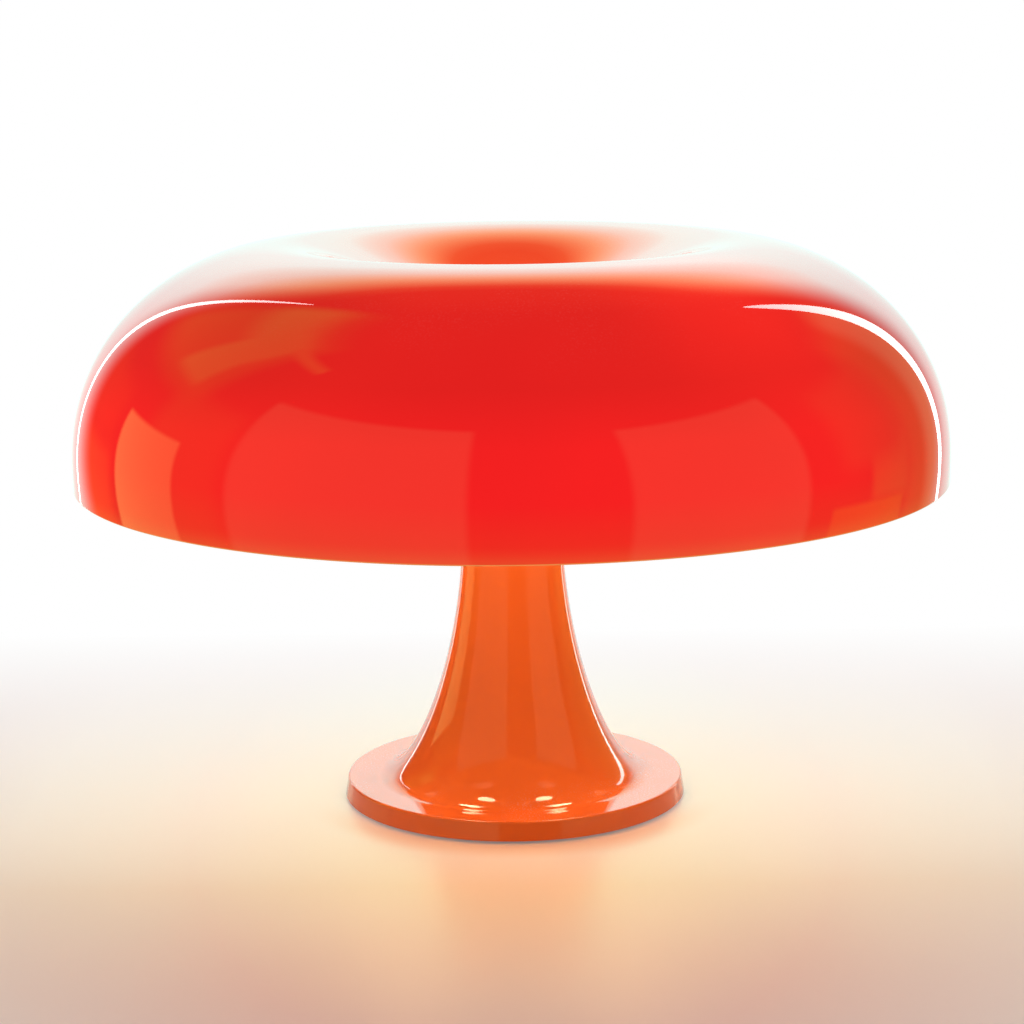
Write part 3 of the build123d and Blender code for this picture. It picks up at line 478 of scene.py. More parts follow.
def facing_inwards(nodes):
    """1 on the shade's inner side and 0 on its outer side, from the rest position and the object's normal."""
    outwards = nodes.vector("NORMALIZE", nodes.level_place())
    along = nodes.vector("DOT_PRODUCT", nodes.place["Normal"], outwards, output="Value")
    below = nodes.product(nodes.parts(nodes.place["Normal"])["Z"], -1.0)
    within = nodes.math("SUBTRACT", nodes.product(below, 2.0), along)
    return nodes.between(nodes.math("MAXIMUM", below, within), 0.02, 0.3)


def shade_plastic(colours, sizes):
    """Glossy translucent plastic lit from inside: its glow is orange at the rim and in the crater."""
    nodes = new_material(
        "shade_plastic", coat_roughness=0.02, emission_strength=1.0, **GLOSS
    )
    share = nodes.straight(nodes.height(), sizes.shade_rim, sizes.shade_top)
    side_glow = nodes.ramp(share, (
        (0.0, colours.shade_rim_glow), (0.22, colours.shade_low_glow), (0.42, colours.shade_low_glow),
        (0.62, colours.shade_high_glow), (0.86, colours.shade_high_glow), (1.0, colours.shade_crest_glow),
    ))
    in_dish = nodes.between(nodes.out(), sizes.crest_radius + 0.01, sizes.crest_radius - 0.03)
    outer_glow = nodes.mix(in_dish, side_glow, colours.shade_dish_glow)
    halo = nodes.group("Bulb Glow", reach=0.22)["Glow"]
    outer_glow = nodes.mix(halo, outer_glow, colours.bulb_halo, "ADD")
    inwards = facing_inwards(nodes)
    glow = nodes.mix(inwards, outer_glow, colours.shade_inner_glow)
    # The inner side gets the darker body and the painted light of the inner glow
    body = nodes.mix(inwards, colours.shade_body, colours.shade_inner_dimmed)
    mould = nodes.group("Moulded Surface", ripple_size=0.05, grain_size=0.0008)
    uneven = nodes.spread(mould["Tone"], 0.97, 1.03)
    for centre, reach, level in GLOW_PATCHES:
        distance = nodes.vector("DISTANCE", nodes.place["Object"], centre, output="Value")
        uneven = nodes.product(uneven, nodes.between(distance, reach, 0.0, 1.0, level))
    dust = nodes.group("Settled Dust", amount=0.06, speck_size=0.0012)["Mask"]
    return nodes.surface(
        emission_color=nodes.vector("SCALE", glow, Scale=uneven),
        base_color=nodes.mix(dust, body, DUST),
        coat_weight=nodes.between(dust, 0.0, 1.0, 1.0, 0.4),
        normal=nodes.bump(mould["Ripple"], 0.15, 0.0005),
    )


def base_plastic(colours):
    """Glossy opaque plastic with a faint ripple, small scuffs and a little dust on the disc."""
    nodes = new_material("base_plastic", coat_roughness=0.03, **GLOSS)
    mould = nodes.group("Moulded Surface", ripple_size=0.03, grain_size=0.0007)
    colour = nodes.toned(colours.base_plastic, mould["Tone"], 0.96, 1.04)
    dust = nodes.group("Settled Dust", amount=0.3, speck_size=0.001)["Mask"]
    return nodes.surface(
        base_color=nodes.mix(dust, colour, DUST),
        roughness=nodes.spread(mould["Grain"], 0.25, 0.4),
        coat_weight=nodes.between(dust, 0.0, 1.0, 1.0, 0.3),
        normal=nodes.bump(mould["Ripple"], 0.12, 0.0004),
    )


def cap_plastic(colours):
    """The cap nut's plastic, with a painted glow from the crater round it, stronger lower down."""
    nodes = new_material(
        "cap_plastic", roughness=0.15, ior=1.5, coat_weight=0.8, coat_roughness=0.05, coat_ior=1.5,
        emission_strength=0.5,
    )
    mould = nodes.group("Moulded Surface", ripple_size=0.01, grain_size=0.0005)
    colour = nodes.toned(colours.cap_plastic, mould["Tone"], 0.94, 1.06)
    dust = nodes.group("Settled Dust", amount=0.5, speck_size=0.0009)["Mask"]
    # Painted glow of the crater on the cap nut, stronger towards its foot
    low = nodes.between(nodes.height(), top_of("cap_nut"), bottom_of("cap_nut"), 0.7, 1.0)
    return nodes.surface(
        base_color=nodes.mix(dust, colour, DUST),
        emission_color=nodes.vector("SCALE", colours.shade_dish_glow, Scale=low),
        normal=nodes.bump(mould["Grain"], 0.2, 0.0001),
    )


def textured_plastic(name, colour, second, grain_size, roughness, relief):
    """Matt plastic with an eroded grain from its mould and slow changes of tone."""
    nodes = new_material(name, ior=1.5, roughness=roughness)
    mould = nodes.group("Moulded Surface", ripple_size=0.02, grain_size=grain_size)
    shift = nodes.between(mould["Tone"], 0.35, 0.65)
    dust = nodes.group("Settled Dust", amount=0.5, speck_size=0.001)["Mask"]
    return nodes.surface(
        base_color=nodes.mix(dust, nodes.mix(shift, colour, second), DUST),
        roughness=nodes.spread(mould["Grain"], roughness - 0.1, roughness + 0.1),
        normal=nodes.bump(mould["Grain"], 0.35, relief),
    )


def rubber(name, colour, second):
    """Rubber with a dull bloom in patches and a fine grain."""
    nodes = new_material(name, ior=1.5, roughness=0.7)
    mould = nodes.group("Moulded Surface", ripple_size=0.008, grain_size=0.0004)
    bloom = nodes.between(mould["Ripple"], 0.4, 0.75)
    return nodes.surface(
        base_color=nodes.mix(bloom, colour, second),
        roughness=nodes.between(bloom, 0.0, 1.0, 0.6, 0.85),
        normal=nodes.bump(mould["Grain"], 0.5, 0.0002),
    )


def metal(name, bright, dull, roughness, line_size=0.0004, along_z=0.08):
    """Bare or plated metal with fine drawn lines and darker spots."""
    nodes = new_material(name, metallic=1.0, roughness=roughness)
    drawn = nodes.group("Drawn Metal", line_size=line_size, along_z=along_z)
    tone = nodes.between(drawn["Tone"], 0.35, 0.65)
    stain = nodes.product(drawn["Spots"], 0.6)
    return nodes.surface(
        base_color=nodes.mix(stain, nodes.mix(tone, bright, dull), dull),
        roughness=nodes.spread(drawn["Lines"], roughness - 0.06, roughness + 0.08),
        normal=nodes.bump(drawn["Lines"], 0.25, 0.00004),
    )


def cast_iron():
    """Rough cast iron with a sand-cast skin, pits and a little rust in patches."""
    nodes = new_material("cast_iron", metallic=0.6, roughness=0.65)
    crust = nodes.noise(0.0012, 4.0)
    pits = nodes.between(nodes.noise(0.004, 3.0), 0.35, 0.5)
    rust = nodes.between(nodes.noise(0.02, 4.0), 0.55, 0.7, 0.0, 0.5)
    iron = nodes.mix(pits, (0.03, 0.03, 0.032), (0.09, 0.09, 0.095))
    return nodes.surface(
        base_color=nodes.mix(rust, iron, (0.16, 0.06, 0.025)),
        roughness=nodes.spread(crust, 0.5, 0.8),
        normal=nodes.bump(nodes.product(crust, pits), 0.8, 0.0006),
    )


def hub_paint():
    """White enamel with an orange-peel ripple, warm where the bulbs have aged it."""
    nodes = new_material(
        "hub_paint", roughness=0.25, ior=1.5, coat_weight=0.6, coat_ior=1.5
    )
    mould = nodes.group("Moulded Surface", ripple_size=0.002, grain_size=0.0006)
    heat = nodes.group("Bulb Glow", reach=0.12)["Glow"]
    aged = nodes.between(heat, 0.1, 0.8)
    return nodes.surface(
        base_color=nodes.mix(aged, (0.80, 0.79, 0.75), (0.78, 0.70, 0.55)),
        roughness=nodes.spread(mould["Tone"], 0.2, 0.34),
        normal=nodes.bump(mould["Ripple"], 0.3, 0.0002),
    )


def opal_glass(colours, studio):
    """Opal glass lit from inside, a little darker towards its neck, and not glaring where it is looked at."""
    nodes = new_material(
        "opal_glass", roughness=0.1, ior=1.5, emission_strength=studio.bulb
    )
    neck_out, ball_out, neck_level = 0.071, 0.092, 0.25
    middle_level, rim_level = 0.85, 0.5
    bright = nodes.between(nodes.out(), neck_out, ball_out, neck_level, 1.0)
    cloud = nodes.spread(nodes.noise(0.012, 3.0), 0.93, 1.0)
    light = nodes.vector("SCALE", colours.bulb_light, Scale=nodes.product(bright, cloud))
    rim = nodes.add("ShaderNodeLayerWeight", {"Blend": 0.35}).outputs["Facing"]
    plain = nodes.math("DIVIDE", nodes.between(rim, 0.2, 1.0, middle_level, rim_level), studio.bulb)
    look = nodes.vector("SCALE", colours.bulb_look, Scale=nodes.product(plain, cloud))
    seen = nodes.add("ShaderNodeLightPath").outputs["Is Camera Ray"]
    return nodes.surface(
        emission_color=nodes.mix(seen, light, look),
        base_color=nodes.mix(cloud, (0.50, 0.44, 0.36), (0.58, 0.52, 0.44)),
    )


def insulator_glass():
    """Black glass round the bulb's contact, with small bubbles."""
    nodes = new_material("insulator_glass", roughness=0.15, ior=1.5)
    bubbles = nodes.between(nodes.noise(0.0007), 0.62, 0.7)
    return nodes.surface(
        base_color=nodes.mix(bubbles, (0.008, 0.008, 0.012), (0.04, 0.035, 0.05)),
        roughness=nodes.between(bubbles, 0.0, 1.0, 0.12, 0.4),
    )


def filament_wire():
    """Glowing tungsten wire, hottest where it is furthest out."""
    nodes = new_material(
        "filament_wire", metallic=1.0, roughness=0.4, emission_strength=30.0
    )
    heat = nodes.between(nodes.out(), 0.088, 0.098)
    drawn = nodes.group("Drawn Metal", line_size=0.0001, along_z=1.0)
    return nodes.surface(
        emission_color=nodes.mix(heat, (0.3, 0.06, 0.01), (1.0, 0.62, 0.25)),
        base_color=nodes.mix(drawn["Tone"], (0.25, 0.24, 0.23), (0.45, 0.43, 0.41)),
    )


def insulation(name, colour):
    """Glossy soft insulation with a faint ripple and scuffs."""
    nodes = new_material(name, roughness=0.35, ior=1.5)
    mould = nodes.group("Moulded Surface", ripple_size=0.004, grain_size=0.0005)
    return nodes.surface(
        base_color=nodes.toned(colour, mould["Ripple"], 0.8, 1.15),
        roughness=nodes.spread(mould["Grain"], 0.28, 0.45),
        normal=nodes.bump(mould["Grain"], 0.2, 0.0001),
    )


def finish(slot):
    """The material of a slot, made when it is first asked for."""
    packed = bpy.data.materials.get(slot)
    if packed and packed.get("lamp_finish"):
        return packed
    scene = bpy.context.scene
    colours, sizes, studio = scene.lamp_colours, scene.lamp_sizes, scene.lamp_studio
    makers = {
        "shade_plastic": lambda: shade_plastic(colours, sizes),
        "base_plastic": lambda: base_plastic(colours),
        "cap_plastic": lambda: cap_plastic(colours),
        "cover_plastic": lambda: textured_plastic(
            slot, (0.012, 0.012, 0.013), (0.020, 0.020, 0.021), 0.0006, 0.55, 0.0002),
        "holder_plastic": lambda: textured_plastic(
            slot, (0.76, 0.73, 0.64), (0.68, 0.63, 0.52), 0.0003, 0.38, 0.00006),
        "foot_rubber": lambda: rubber(slot, (0.010, 0.010, 0.010), (0.030, 0.029, 0.028)),
        "gasket_rubber": lambda: rubber(slot, (0.30, 0.29, 0.27), (0.42, 0.41, 0.38)),
        "cast_iron": cast_iron,
        "zinc_steel": lambda: metal(slot, (0.62, 0.64, 0.68), (0.46, 0.46, 0.45), 0.3),
        "brass": lambda: metal(slot, (0.78, 0.56, 0.22), (0.55, 0.36, 0.13), 0.28),
        "hub_paint": hub_paint,
        "opal_glass": lambda: opal_glass(colours, studio),
        "bulb_cap_metal": lambda: metal(slot, (0.72, 0.70, 0.66), (0.55, 0.52, 0.47), 0.25, 0.0003, 1.0),
        "insulator_glass": insulator_glass,
        "filament_wire": filament_wire,
        "live_insulation": lambda: insulation(slot, (0.14, 0.045, 0.015)),
        "neutral_insulation": lambda: insulation(slot, (0.012, 0.055, 0.32)),
    }
    if packed:
        packed.name = slot + "_plain"
    material = makers[slot]()
    material["lamp_finish"] = True
    return material


def dress(*names):
    """Gives nodes of the model the finish of their slot in the record."""
    slots = {part["node"]: part["material_slot"] for part in frame["record"]["subparts"]}
    for name in names:
        for holder in frame["nodes"][name].material_slots:
            holder.material = finish(slots[name])


def bezier(start, start_pull, end_pull, end, steps):
    """Points along a curve, with its start and its end."""
    points = []
    for n in range(steps + 1):
        t = n / steps
        shares = ((1 - t) ** 3, 3 * t * (1 - t) ** 2, 3 * t * t * (1 - t), t ** 3)
        corners = (start, start_pull, end_pull, end)
        points.append(tuple(sum(s * c[i] for s, c in zip(shares, corners)) for i in (0, 1)))
    return points


def arc(centre, radius, first, last, steps):
    """Points along an arc, from the first angle to the last, in degrees."""
    angles = [radians(first + (last - first) * n / steps) for n in range(steps + 1)]
    return [(centre[0] + radius * cos(a), centre[1] + radius * sin(a)) for a in angles]


def skin(name, rings, slot, body, closed=True, place=None, replaced=(), sharp_angle=40.0):
    """A piece skinned over rings of points; a ring of one point is a pole."""
    vertices, numbers = [], []
    sides = max(len(ring) for ring in rings)
    for ring in rings:
        first = len(vertices)
        vertices += ring
        numbers.append([first + (k if len(ring) > 1 else 0) for k in range(sides)])
    faces = []
    pairs = list(zip(numbers, numbers[1:]))
    if closed:
        pairs.append((numbers[-1], numbers[0]))
    for ring, after in pairs:
        for k in range(sides):
            after_k = (k + 1) % sides
            corners = list(dict.fromkeys((ring[k], ring[after_k], after[after_k], after[k])))
            if len(corners) > 2:
                faces.append(corners)
    mesh = bpy.data.meshes.new(name)
    mesh.from_pydata(vertices, [], faces)
    if place:
        mesh.transform(place)
    shell = bmesh.new()
    shell.from_mesh(mesh)
    bmesh.ops.recalc_face_normals(shell, faces=shell.faces)
    shell.to_mesh(mesh)
    shell.free()
    mesh.shade_smooth()
    mesh.set_sharp_from_angle(angle=radians(sharp_angle))
    mesh.materials.append(finish(slot))
    piece = bpy.data.objects.new(name, mesh)
    bpy.context.scene.collection.objects.link(piece)
    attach(piece, body)
    if replaced:
        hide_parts(*replaced)
    return piece


def ring_at(out, height, sides):
    """A ring of points round the Z axis."""
    angles = [2 * pi * k / sides for k in range(sides)]
    return [(out * cos(a), out * sin(a), height) for a in angles]


def turned(name, outline, sides, slot, body, **options):
    """A piece turned from a closed outline of (out, height) points."""
    return skin(name, [ring_at(out, height, sides) for out, height in outline], slot, body, **options)


def thread_rings(start, end, radius, depth, pitch, sides, run_out):
    """Rings over a thread that fades out at both ends."""
    steps_per_turn = 10
    count = round((end - start) / pitch * steps_per_turn)
    rings = []
    for n in range(count + 1):
        height = start + (end - start) * n / count
        fade = min(1.0, (height - start) / run_out, (end - height) / run_out)
        ring = []
        for k in range(sides):
            angle = 2 * pi * k / sides
            groove = 0.5 - 0.5 * cos(2 * pi * height / pitch - angle)
            out = radius - depth * fade * groove
            ring.append((out * cos(angle), out * sin(angle), height))
        rings.append(ring)
    return rings


def bulb_frame(number):
    """The frame of a bulb: Z points out along the bulb, X points up."""
    centre = BULB_CENTRES[number - 1]
    outwards = Vector((centre.x, centre.y, 0)).normalized()
    up = Vector((0, 0, 1))
    side = outwards.cross(up)
    turn = Matrix((up, side, outwards)).transposed().to_4x4()
    return Matrix.Translation((0, 0, centre.z)) @ turn


class LAMP_OT_stage(bpy.types.Operator):
    """Makes the camera, the floor, the air of the studio and its strip lights"""

    bl_idname = "lamp.stage"
    bl_label = "Studio"

    def execute(self, context):
        studio = context.scene.lamp_studio
        context.scene.view_settings.view_transform = "Standard"
        make_camera(studio)
        make_air(studio)
        make_floor(context.scene.lamp_colours, studio)
        for name, place, width, low, high in STRIPS:
            make_strip(name, place, width, low, high, studio.strip)
        return {"FINISHED"}


class LAMP_OT_shade(bpy.types.Operator):
    """Turns the shade in one wall from rim to crater, and puts it in place of the plain node"""

    bl_idname = "lamp.shade"
    bl_label = "Shade"

    def execute(self, context):
        s = context.scene.lamp_sizes
        turned("shade_moulding", shade_outline(s), s.segments, "shade_plastic", "shade", replaced=["shade"])
        return {"FINISHED"}


class LAMP_OT_base(bpy.types.Operator):
    """Makes the grooved foot ring, and finishes the base shell, its underside and the ballast"""

    bl_idname = "lamp.base"
    bl_label = "Base"

    def execute(self, context):
        s = context.scene.lamp_sizes
        foot = foot_outline(s)
        turned("grooved_foot", foot, s.segments, "foot_rubber", "lamp_base", replaced=["foot_ring"])
        dress(
            "base_shell", "base_cover", "cover_screws", "ballast_plate",
            "cord_grommet", "cord_clamp", "clamp_screws",
            "terminal_block", "terminal_inserts", "terminal_screws",
        )
        return {"FINISHED"}


class LAMP_OT_stem(bpy.types.Operator):
    """Makes the threaded tie rod and finishes its nuts and washers"""

    bl_idname = "lamp.stem"
    bl_label = "Tie rod"

    def execute(self, context):
        s = context.scene.lamp_sizes
        bottom, top = bottom_of("tie_rod"), top_of("tie_rod")
        thread = (s.rod_radius, s.rod_thread_depth, s.rod_pitch, s.small_segments // 2, s.rod_pitch)
        lower = thread_rings(bottom, bottom + s.rod_thread_length, *thread)
        upper = thread_rings(top - s.rod_thread_length, top, *thread)
        rings = [[(0.0, 0.0, bottom)]] + lower + upper + [[(0.0, 0.0, top)]]
        skin("threaded_rod", rings, "zinc_steel", "lamp_base", closed=False, replaced=["tie_rod"])
        dress("lower_nut", "lower_washer", "hub_washer", "hub_nut")
        return {"FINISHED"}


class LAMP_OT_hub(bpy.types.Operator):
    """Finishes the hub, its cover, its screws and the gasket on its turret"""

    bl_idname = "lamp.hub"
    bl_label = "Hub"

    def execute(self, context):
        dress("hub_body", "hub_cover", "hub_screws", "shade_gasket")
        return {"FINISHED"}


class LAMP_OT_cap(bpy.types.Operator):
    """Finishes the cap nut and its insert"""

    bl_idname = "lamp.cap"
    bl_label = "Cap nut"

    def execute(self, context):
        dress("cap_nut", "cap_insert")
        return {"FINISHED"}


class LAMP_OT_holders(bpy.types.Operator):
    """Finishes the lampholders and their contacts, and rolls a thread into each socket shell"""

    bl_idname = "lamp.holders"
    bl_label = "Lampholders"

    def execute(self, context):
        s = context.scene.lamp_sizes
        dress("holder_caps", "holder_nuts", "centre_contacts")
        thread = (s.socket_bore, s.socket_thread_depth, s.cap_pitch, s.small_segments, s.cap_pitch / 2)
        rings = thread_rings(s.socket_start, s.socket_end, *thread)
        behind = s.socket_bore + s.socket_thread_depth
        rings += [ring_at(behind, height, s.small_segments) for height in (s.socket_end, s.socket_start)]
        for number in BULB_NUMBERS:
            dress(f"lampholder_{number}", f"socket_shell_{number}")
            skin(f"socket_thread_{number}", rings, "brass", "lamp_base", place=bulb_frame(number))
        return {"FINISHED"}


class LAMP_OT_bulbs(bpy.types.Operator):
    """Makes each bulb's threaded cap and finishes its other parts"""

    bl_idname = "lamp.bulbs"
    bl_label = "Bulbs"

    def execute(self, context):
        s = context.scene.lamp_sizes
        for number in BULB_NUMBERS:
            dress(*(f"bulb_{number}_{part}" for part in ("glass", "insulator", "tip", "filament")))
            skin(
                f"bulb_{number}_threaded_cap", cap_rings(s), "bulb_cap_metal", f"bulb_{number}",
                place=bulb_frame(number), replaced=[f"bulb_{number}_cap"], sharp_angle=50.0,
            )
        return {"FINISHED"}


class LAMP_OT_wiring(bpy.types.Operator):
    """Finishes the leads"""

    bl_idname = "lamp.wiring"
    bl_label = "Wiring"

    def execute(self, context):
        dress("live_riser", "neutral_riser", "live_jumpers", "neutral_jumpers")
        return {"FINISHED"}


def shade_face(s, inset):
    """A face of the shade's wall, from its side over the crest into the crater, at an inset from outside."""
    side, top = s.shade_radius - inset, s.shade_top - inset
    side_top, floor = s.shade_rim + s.shade_side, top - s.dish_depth
    change = BEND_SHARE * inset
    shoulder = bezier(
        (side, side_top), (side, side_top + s.shoulder_side_pull - change),
        (s.crest_radius + s.shoulder_crest_pull - change, top), (s.crest_radius, top), s.curve_steps,
    )
    dish = bezier(
        (s.crest_radius, top), (s.crest_radius - s.dish_crest_pull + change, top),
        (s.dish_floor_radius + s.dish_floor_pull + change, floor), (s.dish_floor_radius, floor),
        s.curve_steps,
    )
    return shoulder + dish[1:]


def shade_outline(s):
    """The section through the shade's wall, from the outer rim over the crest into the crater and back."""
    edge, lip = s.shade_edge, s.shade_rim + s.shade_edge
    inner, floor = s.shade_radius - s.shade_wall, s.shade_top - s.dish_depth
    outline = arc((s.shade_radius - edge, lip), edge, -90, 0, RIM_STEPS)
    outline += shade_face(s, 0.0)
    outline += [(s.shade_hole, floor), (s.shade_hole, floor - s.shade_wall)]
    outline += reversed(shade_face(s, s.shade_wall))
    return outline + arc((inner + edge, lip), edge, 180, 270, RIM_STEPS)


def foot_outline(s):
    """The section of the foot ring, with two grooves in its lower face."""
    inner, outer, top, groove = s.foot_inner, s.foot_outer, s.foot_top, s.foot_groove
    half, slope = s.foot_groove_width / 2, groove / 2
    outline = [(outer, top), (outer, slope), (outer - slope, 0.0)]
    for share in (2 / 3, 1 / 3):
        middle = inner + share * (outer - inner)
        outline += [
            (middle + half + slope, 0.0), (middle + half, groove), (middle - half, groove),
            (middle - half - slope, 0.0),
        ]
    return outline + [(inner + slope, 0.0), (inner, slope), (inner, top)]


def cap_rings(s):
    """Rings over a bulb cap: its rolled lower lip, its thread, its plain skirt and its bore."""
    lip_round = s.cap_bore + 0.3 * (s.cap_radius - s.cap_bore)
    skirt = s.cap_radius - 0.6 * s.cap_thread_depth
    thread = (s.cap_radius, s.cap_thread_depth, s.cap_pitch, s.small_segments, s.cap_pitch / 2)
    lower = (
        (s.cap_bore, s.cap_start), (lip_round, s.cap_start),
        (s.cap_radius - s.cap_thread_depth, s.cap_start + s.cap_lip / 2),
    )
    upper = (
        (skirt, s.cap_thread_end + s.cap_lip), (skirt, s.cap_end - 2 * s.cap_lip),
        (s.cap_radius, s.cap_end - s.cap_lip), (s.cap_radius, s.cap_end), (s.cap_bore, s.cap_end),
    )
    rings = [ring_at(out, height, s.small_segments) for out, height in lower]
    rings += thread_rings(s.cap_start + s.cap_lip, s.cap_thread_end, *thread)
    return rings + [ring_at(out, height, s.small_segments) for out, height in upper]


def make_camera(studio):
    """The camera at the photograph's viewing angle."""
    camera = bpy.data.cameras.new("view")
    camera.lens = studio.lens
    camera.clip_end = 200.0
    holder = bpy.data.objects.new("view", camera)
    bpy.context.scene.collection.objects.link(holder)
    pitch, roll = studio.camera_pitch, studio.camera_roll
    forward = Vector((0, cos(pitch), -sin(pitch)))
    level = Vector((1, 0, 0))
    upright = level.cross(forward)
    right = cos(roll) * level + sin(roll) * upright
    up = -sin(roll) * level + cos(roll) * upright
    turn = Matrix((right, up, -forward)).transposed().to_4x4()
    holder.matrix_world = Matrix.Translation((0, -studio.camera_back, studio.camera_height)) @ turn
    bpy.context.scene.camera = holder


def edges(nodes, value, first, last, soft):
    """1 between two soft edges, given in degrees."""
    after = nodes.between(value, radians(first - soft), radians(first + soft))
    before = nodes.between(value, radians(last + soft), radians(last - soft))
    return nodes.product(after, before)


def make_air(studio):
    """The studio round the lamp: white to the camera, a backdrop and panels to gloss, even fill else."""
    world = bpy.data.worlds.new("studio_air")
    world.use_nodes = True
    bpy.context.scene.world = world
    nodes = Nodes(world.node_tree)
    direction = nodes.parts(nodes.place["Generated"])
    azimuth = nodes.math("ARCTAN2", direction["X"], direction["Y"])
    elevation = nodes.math("ARCSINE", direction["Z"])
    seen = [studio.front] * 3
    for left, right, low, high, soft, light in PANELS:
        across = edges(nodes, azimuth, left, right, soft)
        upwards = edges(nodes, elevation, low, high, soft)
        seen = nodes.mix(nodes.product(across, upwards), seen, light)
    lowest, highest = BACKDROP[0][0], BACKDROP[-1][0]
    rise = nodes.straight(elevation, radians(lowest), radians(highest))
    sheet = nodes.ramp(rise, [((e - lowest) / (highest - lowest), light) for e, light in BACKDROP])
    aside = nodes.math("MULTIPLY_ADD", elevation, BACKDROP_LEAN, nodes.math("ABSOLUTE", azimuth))
    fade_start, fade_end = (radians(side) for side in BACKDROP_SIDES)
    seen = nodes.mix(nodes.between(aside, fade_end, fade_start), seen, sheet)
    path = nodes.add("ShaderNodeLightPath").outputs
    colour = nodes.mix(path["Is Glossy Ray"], [studio.fill] * 3, seen)
    bare = nodes.math("MAXIMUM", path["Is Camera Ray"], path["Is Transmission Ray"])
    nodes.feed_all(world.node_tree.nodes["Background"].inputs, color=nodes.mix(bare, colour, WHITE))


def make_strip(name, place, width, low, high, radiance):
    """An upright strip light that faces the lamp and isn't seen itself."""
    light = bpy.data.lights.new(name, "AREA")
    light.shape = "ELLIPSE"
    light.size = width
    light.size_y = high - low
    light.energy = radiance * pi * (pi / 4) * width * (high - low)
    holder = bpy.data.objects.new(name, light)
    bpy.context.scene.collection.objects.link(holder)
    holder.location = (*place, (low + high) / 2)
    away = Vector((*place, 0)).normalized()
    holder.rotation_euler = away.to_track_quat("Z", "Y").to_euler()
    holder.visible_camera = False


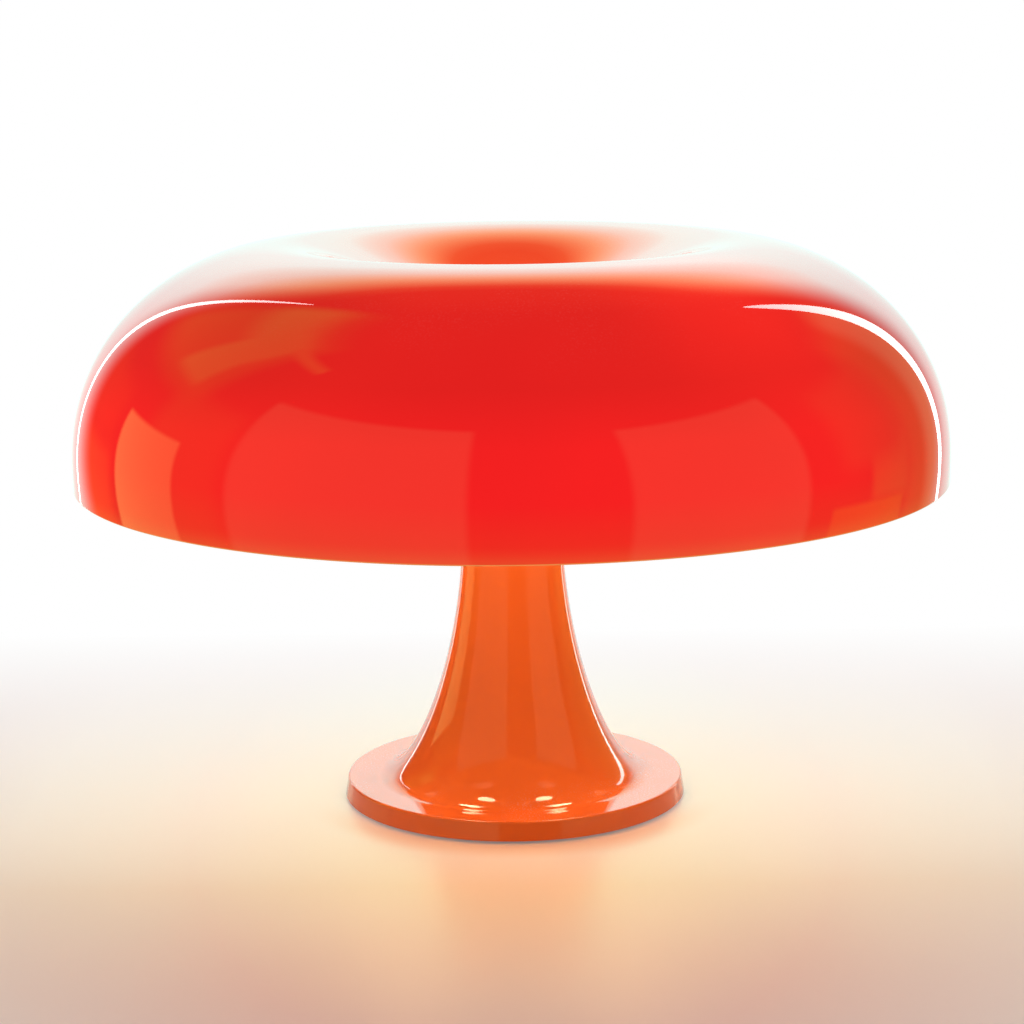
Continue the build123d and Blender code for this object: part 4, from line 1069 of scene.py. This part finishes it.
def make_floor(colours, studio):
    """A pale floor that takes the lamp's light, with a painted pool of its warm light and a painted orange
    glow of the disc round the lamp, fades to white at a distance and is open from below.
    """
    mesh = bpy.data.meshes.new("floor")
    signs = ((-1, -1), (1, -1), (1, 1), (-1, 1))
    corners = [(x * FLOOR_HALF, y * FLOOR_HALF, -studio.floor_drop) for x, y in signs]
    mesh.from_pydata(corners, [], [(0, 1, 2, 3)])
    floor = bpy.data.objects.new("floor", mesh)
    bpy.context.scene.collection.objects.link(floor)
    nodes = new_material("floor_surface", roughness=0.6, specular_ior_level=0.0)
    out = nodes.out()
    back = nodes.parts(nodes.place["Object"])["Y"]
    # A painted pool of the lamp's warm light, in ovals round the lamp
    painted_light_tones = (colours.floor_painted_light_near, colours.floor_painted_light_fade, colours.floor_far)
    far = nodes.straight(nodes.out(FLOOR_LIGHT_OVAL), 0.0, FLOOR_LIGHT_REACH)
    plain = nodes.ramp(far, list(zip(FLOOR_LIGHT_PLACES, painted_light_tones)))
    # A painted orange glow of the disc, as reflected and bounced light, on the floor in front of it
    disc_glow_share = nodes.product(nodes.between(out, *DISC_GLOW_OUT), nodes.between(back, *DISC_GLOW_FRONT))
    material = nodes.surface(base_color=nodes.mix(disc_glow_share, plain, colours.floor_painted_disc_glow))
    fresnel = nodes.add("ShaderNodeFresnel", {"IOR": 1.45}).outputs["Fac"]
    satin = nodes.add("ShaderNodeBsdfAnisotropic", {"Color": (1.0, 0.8, 0.6), "Roughness": 0.3})
    lacquered = nodes.add("ShaderNodeMixShader", {
        0: nodes.product(fresnel, nodes.between(out, *SHEEN_OUT)),
        1: material.node_tree.nodes["Principled BSDF"].outputs["BSDF"],
        2: satin.outputs["BSDF"],
    })
    behind = nodes.math("POWER", nodes.straight(back, *WHITE_BEHIND), 0.85)
    away = nodes.math("MAXIMUM", behind, nodes.between(out, *WHITE_OUT))
    path = nodes.add("ShaderNodeLightPath").outputs
    seen = nodes.math("MAXIMUM", path["Is Camera Ray"], path["Is Glossy Ray"])
    white = nodes.add("ShaderNodeEmission", {"Color": WHITE, "Strength": 1.0})
    blend = nodes.add("ShaderNodeMixShader", {
        0: nodes.product(away, seen), 1: lacquered.outputs[0], 2: white.outputs["Emission"],
    })
    bare = nodes.add("ShaderNodeBsdfTransparent")
    beyond = nodes.product(nodes.between(out, *MIRRORED_OUT), path["Is Glossy Ray"])
    from_below = nodes.add("ShaderNodeNewGeometry").outputs["Backfacing"]
    unseen = nodes.math("MAXIMUM", beyond, nodes.product(from_below, path["Is Camera Ray"]))
    open_floor = nodes.add("ShaderNodeMixShader", {0: unseen, 1: blend.outputs[0], 2: bare.outputs[0]})
    nodes.feed_all(material.node_tree.nodes["Material Output"].inputs, surface=open_floor.outputs[0])
    mesh.materials.append(material)


class LAMP_PT_panel(bpy.types.Panel):
    """Lists the pieces of the lamp and their settings"""

    bl_idname = "LAMP_PT_panel"
    bl_label = "Dome table lamp"
    bl_space_type = "VIEW_3D"
    bl_region_type = "UI"
    bl_category = "Lamp"

    def draw(self, context):
        layout = self.layout
        for operator in OPERATORS:
            layout.operator(operator.bl_idname)
        for group in GROUPS:
            settings = getattr(context.scene, group)
            column = layout.column(align=True)
            for name in settings.bl_rna.properties.keys():
                if name not in ("rna_type", "name"):
                    column.prop(settings, name)


OPERATORS = (
    LAMP_OT_stage, LAMP_OT_shade, LAMP_OT_base, LAMP_OT_stem, LAMP_OT_hub, LAMP_OT_cap,
    LAMP_OT_holders, LAMP_OT_bulbs, LAMP_OT_wiring,
)
GROUPS = {"lamp_sizes": LampSizes, "lamp_colours": LampColours, "lamp_studio": LampStudio}


def register():
    """Registers the settings, the operators and the panel."""
    for name, settings in GROUPS.items():
        bpy.utils.register_class(settings)
        setattr(bpy.types.Scene, name, PointerProperty(type=settings))
    for shown in (*OPERATORS, LAMP_PT_panel):
        bpy.utils.register_class(shown)


def unregister():
    """Takes back what register has added."""
    for shown in (LAMP_PT_panel, *reversed(OPERATORS)):
        bpy.utils.unregister_class(shown)
    for name, settings in GROUPS.items():
        delattr(bpy.types.Scene, name)
        bpy.utils.unregister_class(settings)


def main():
    """Builds the whole lamp."""
    register()
    make_moulded_surface()
    make_settled_dust()
    make_drawn_metal()
    make_bulb_glow()
    for operator in OPERATORS:
        group, name = operator.bl_idname.split(".")
        getattr(getattr(bpy.ops, group), name)()


if __name__ == "__main__":
    main()
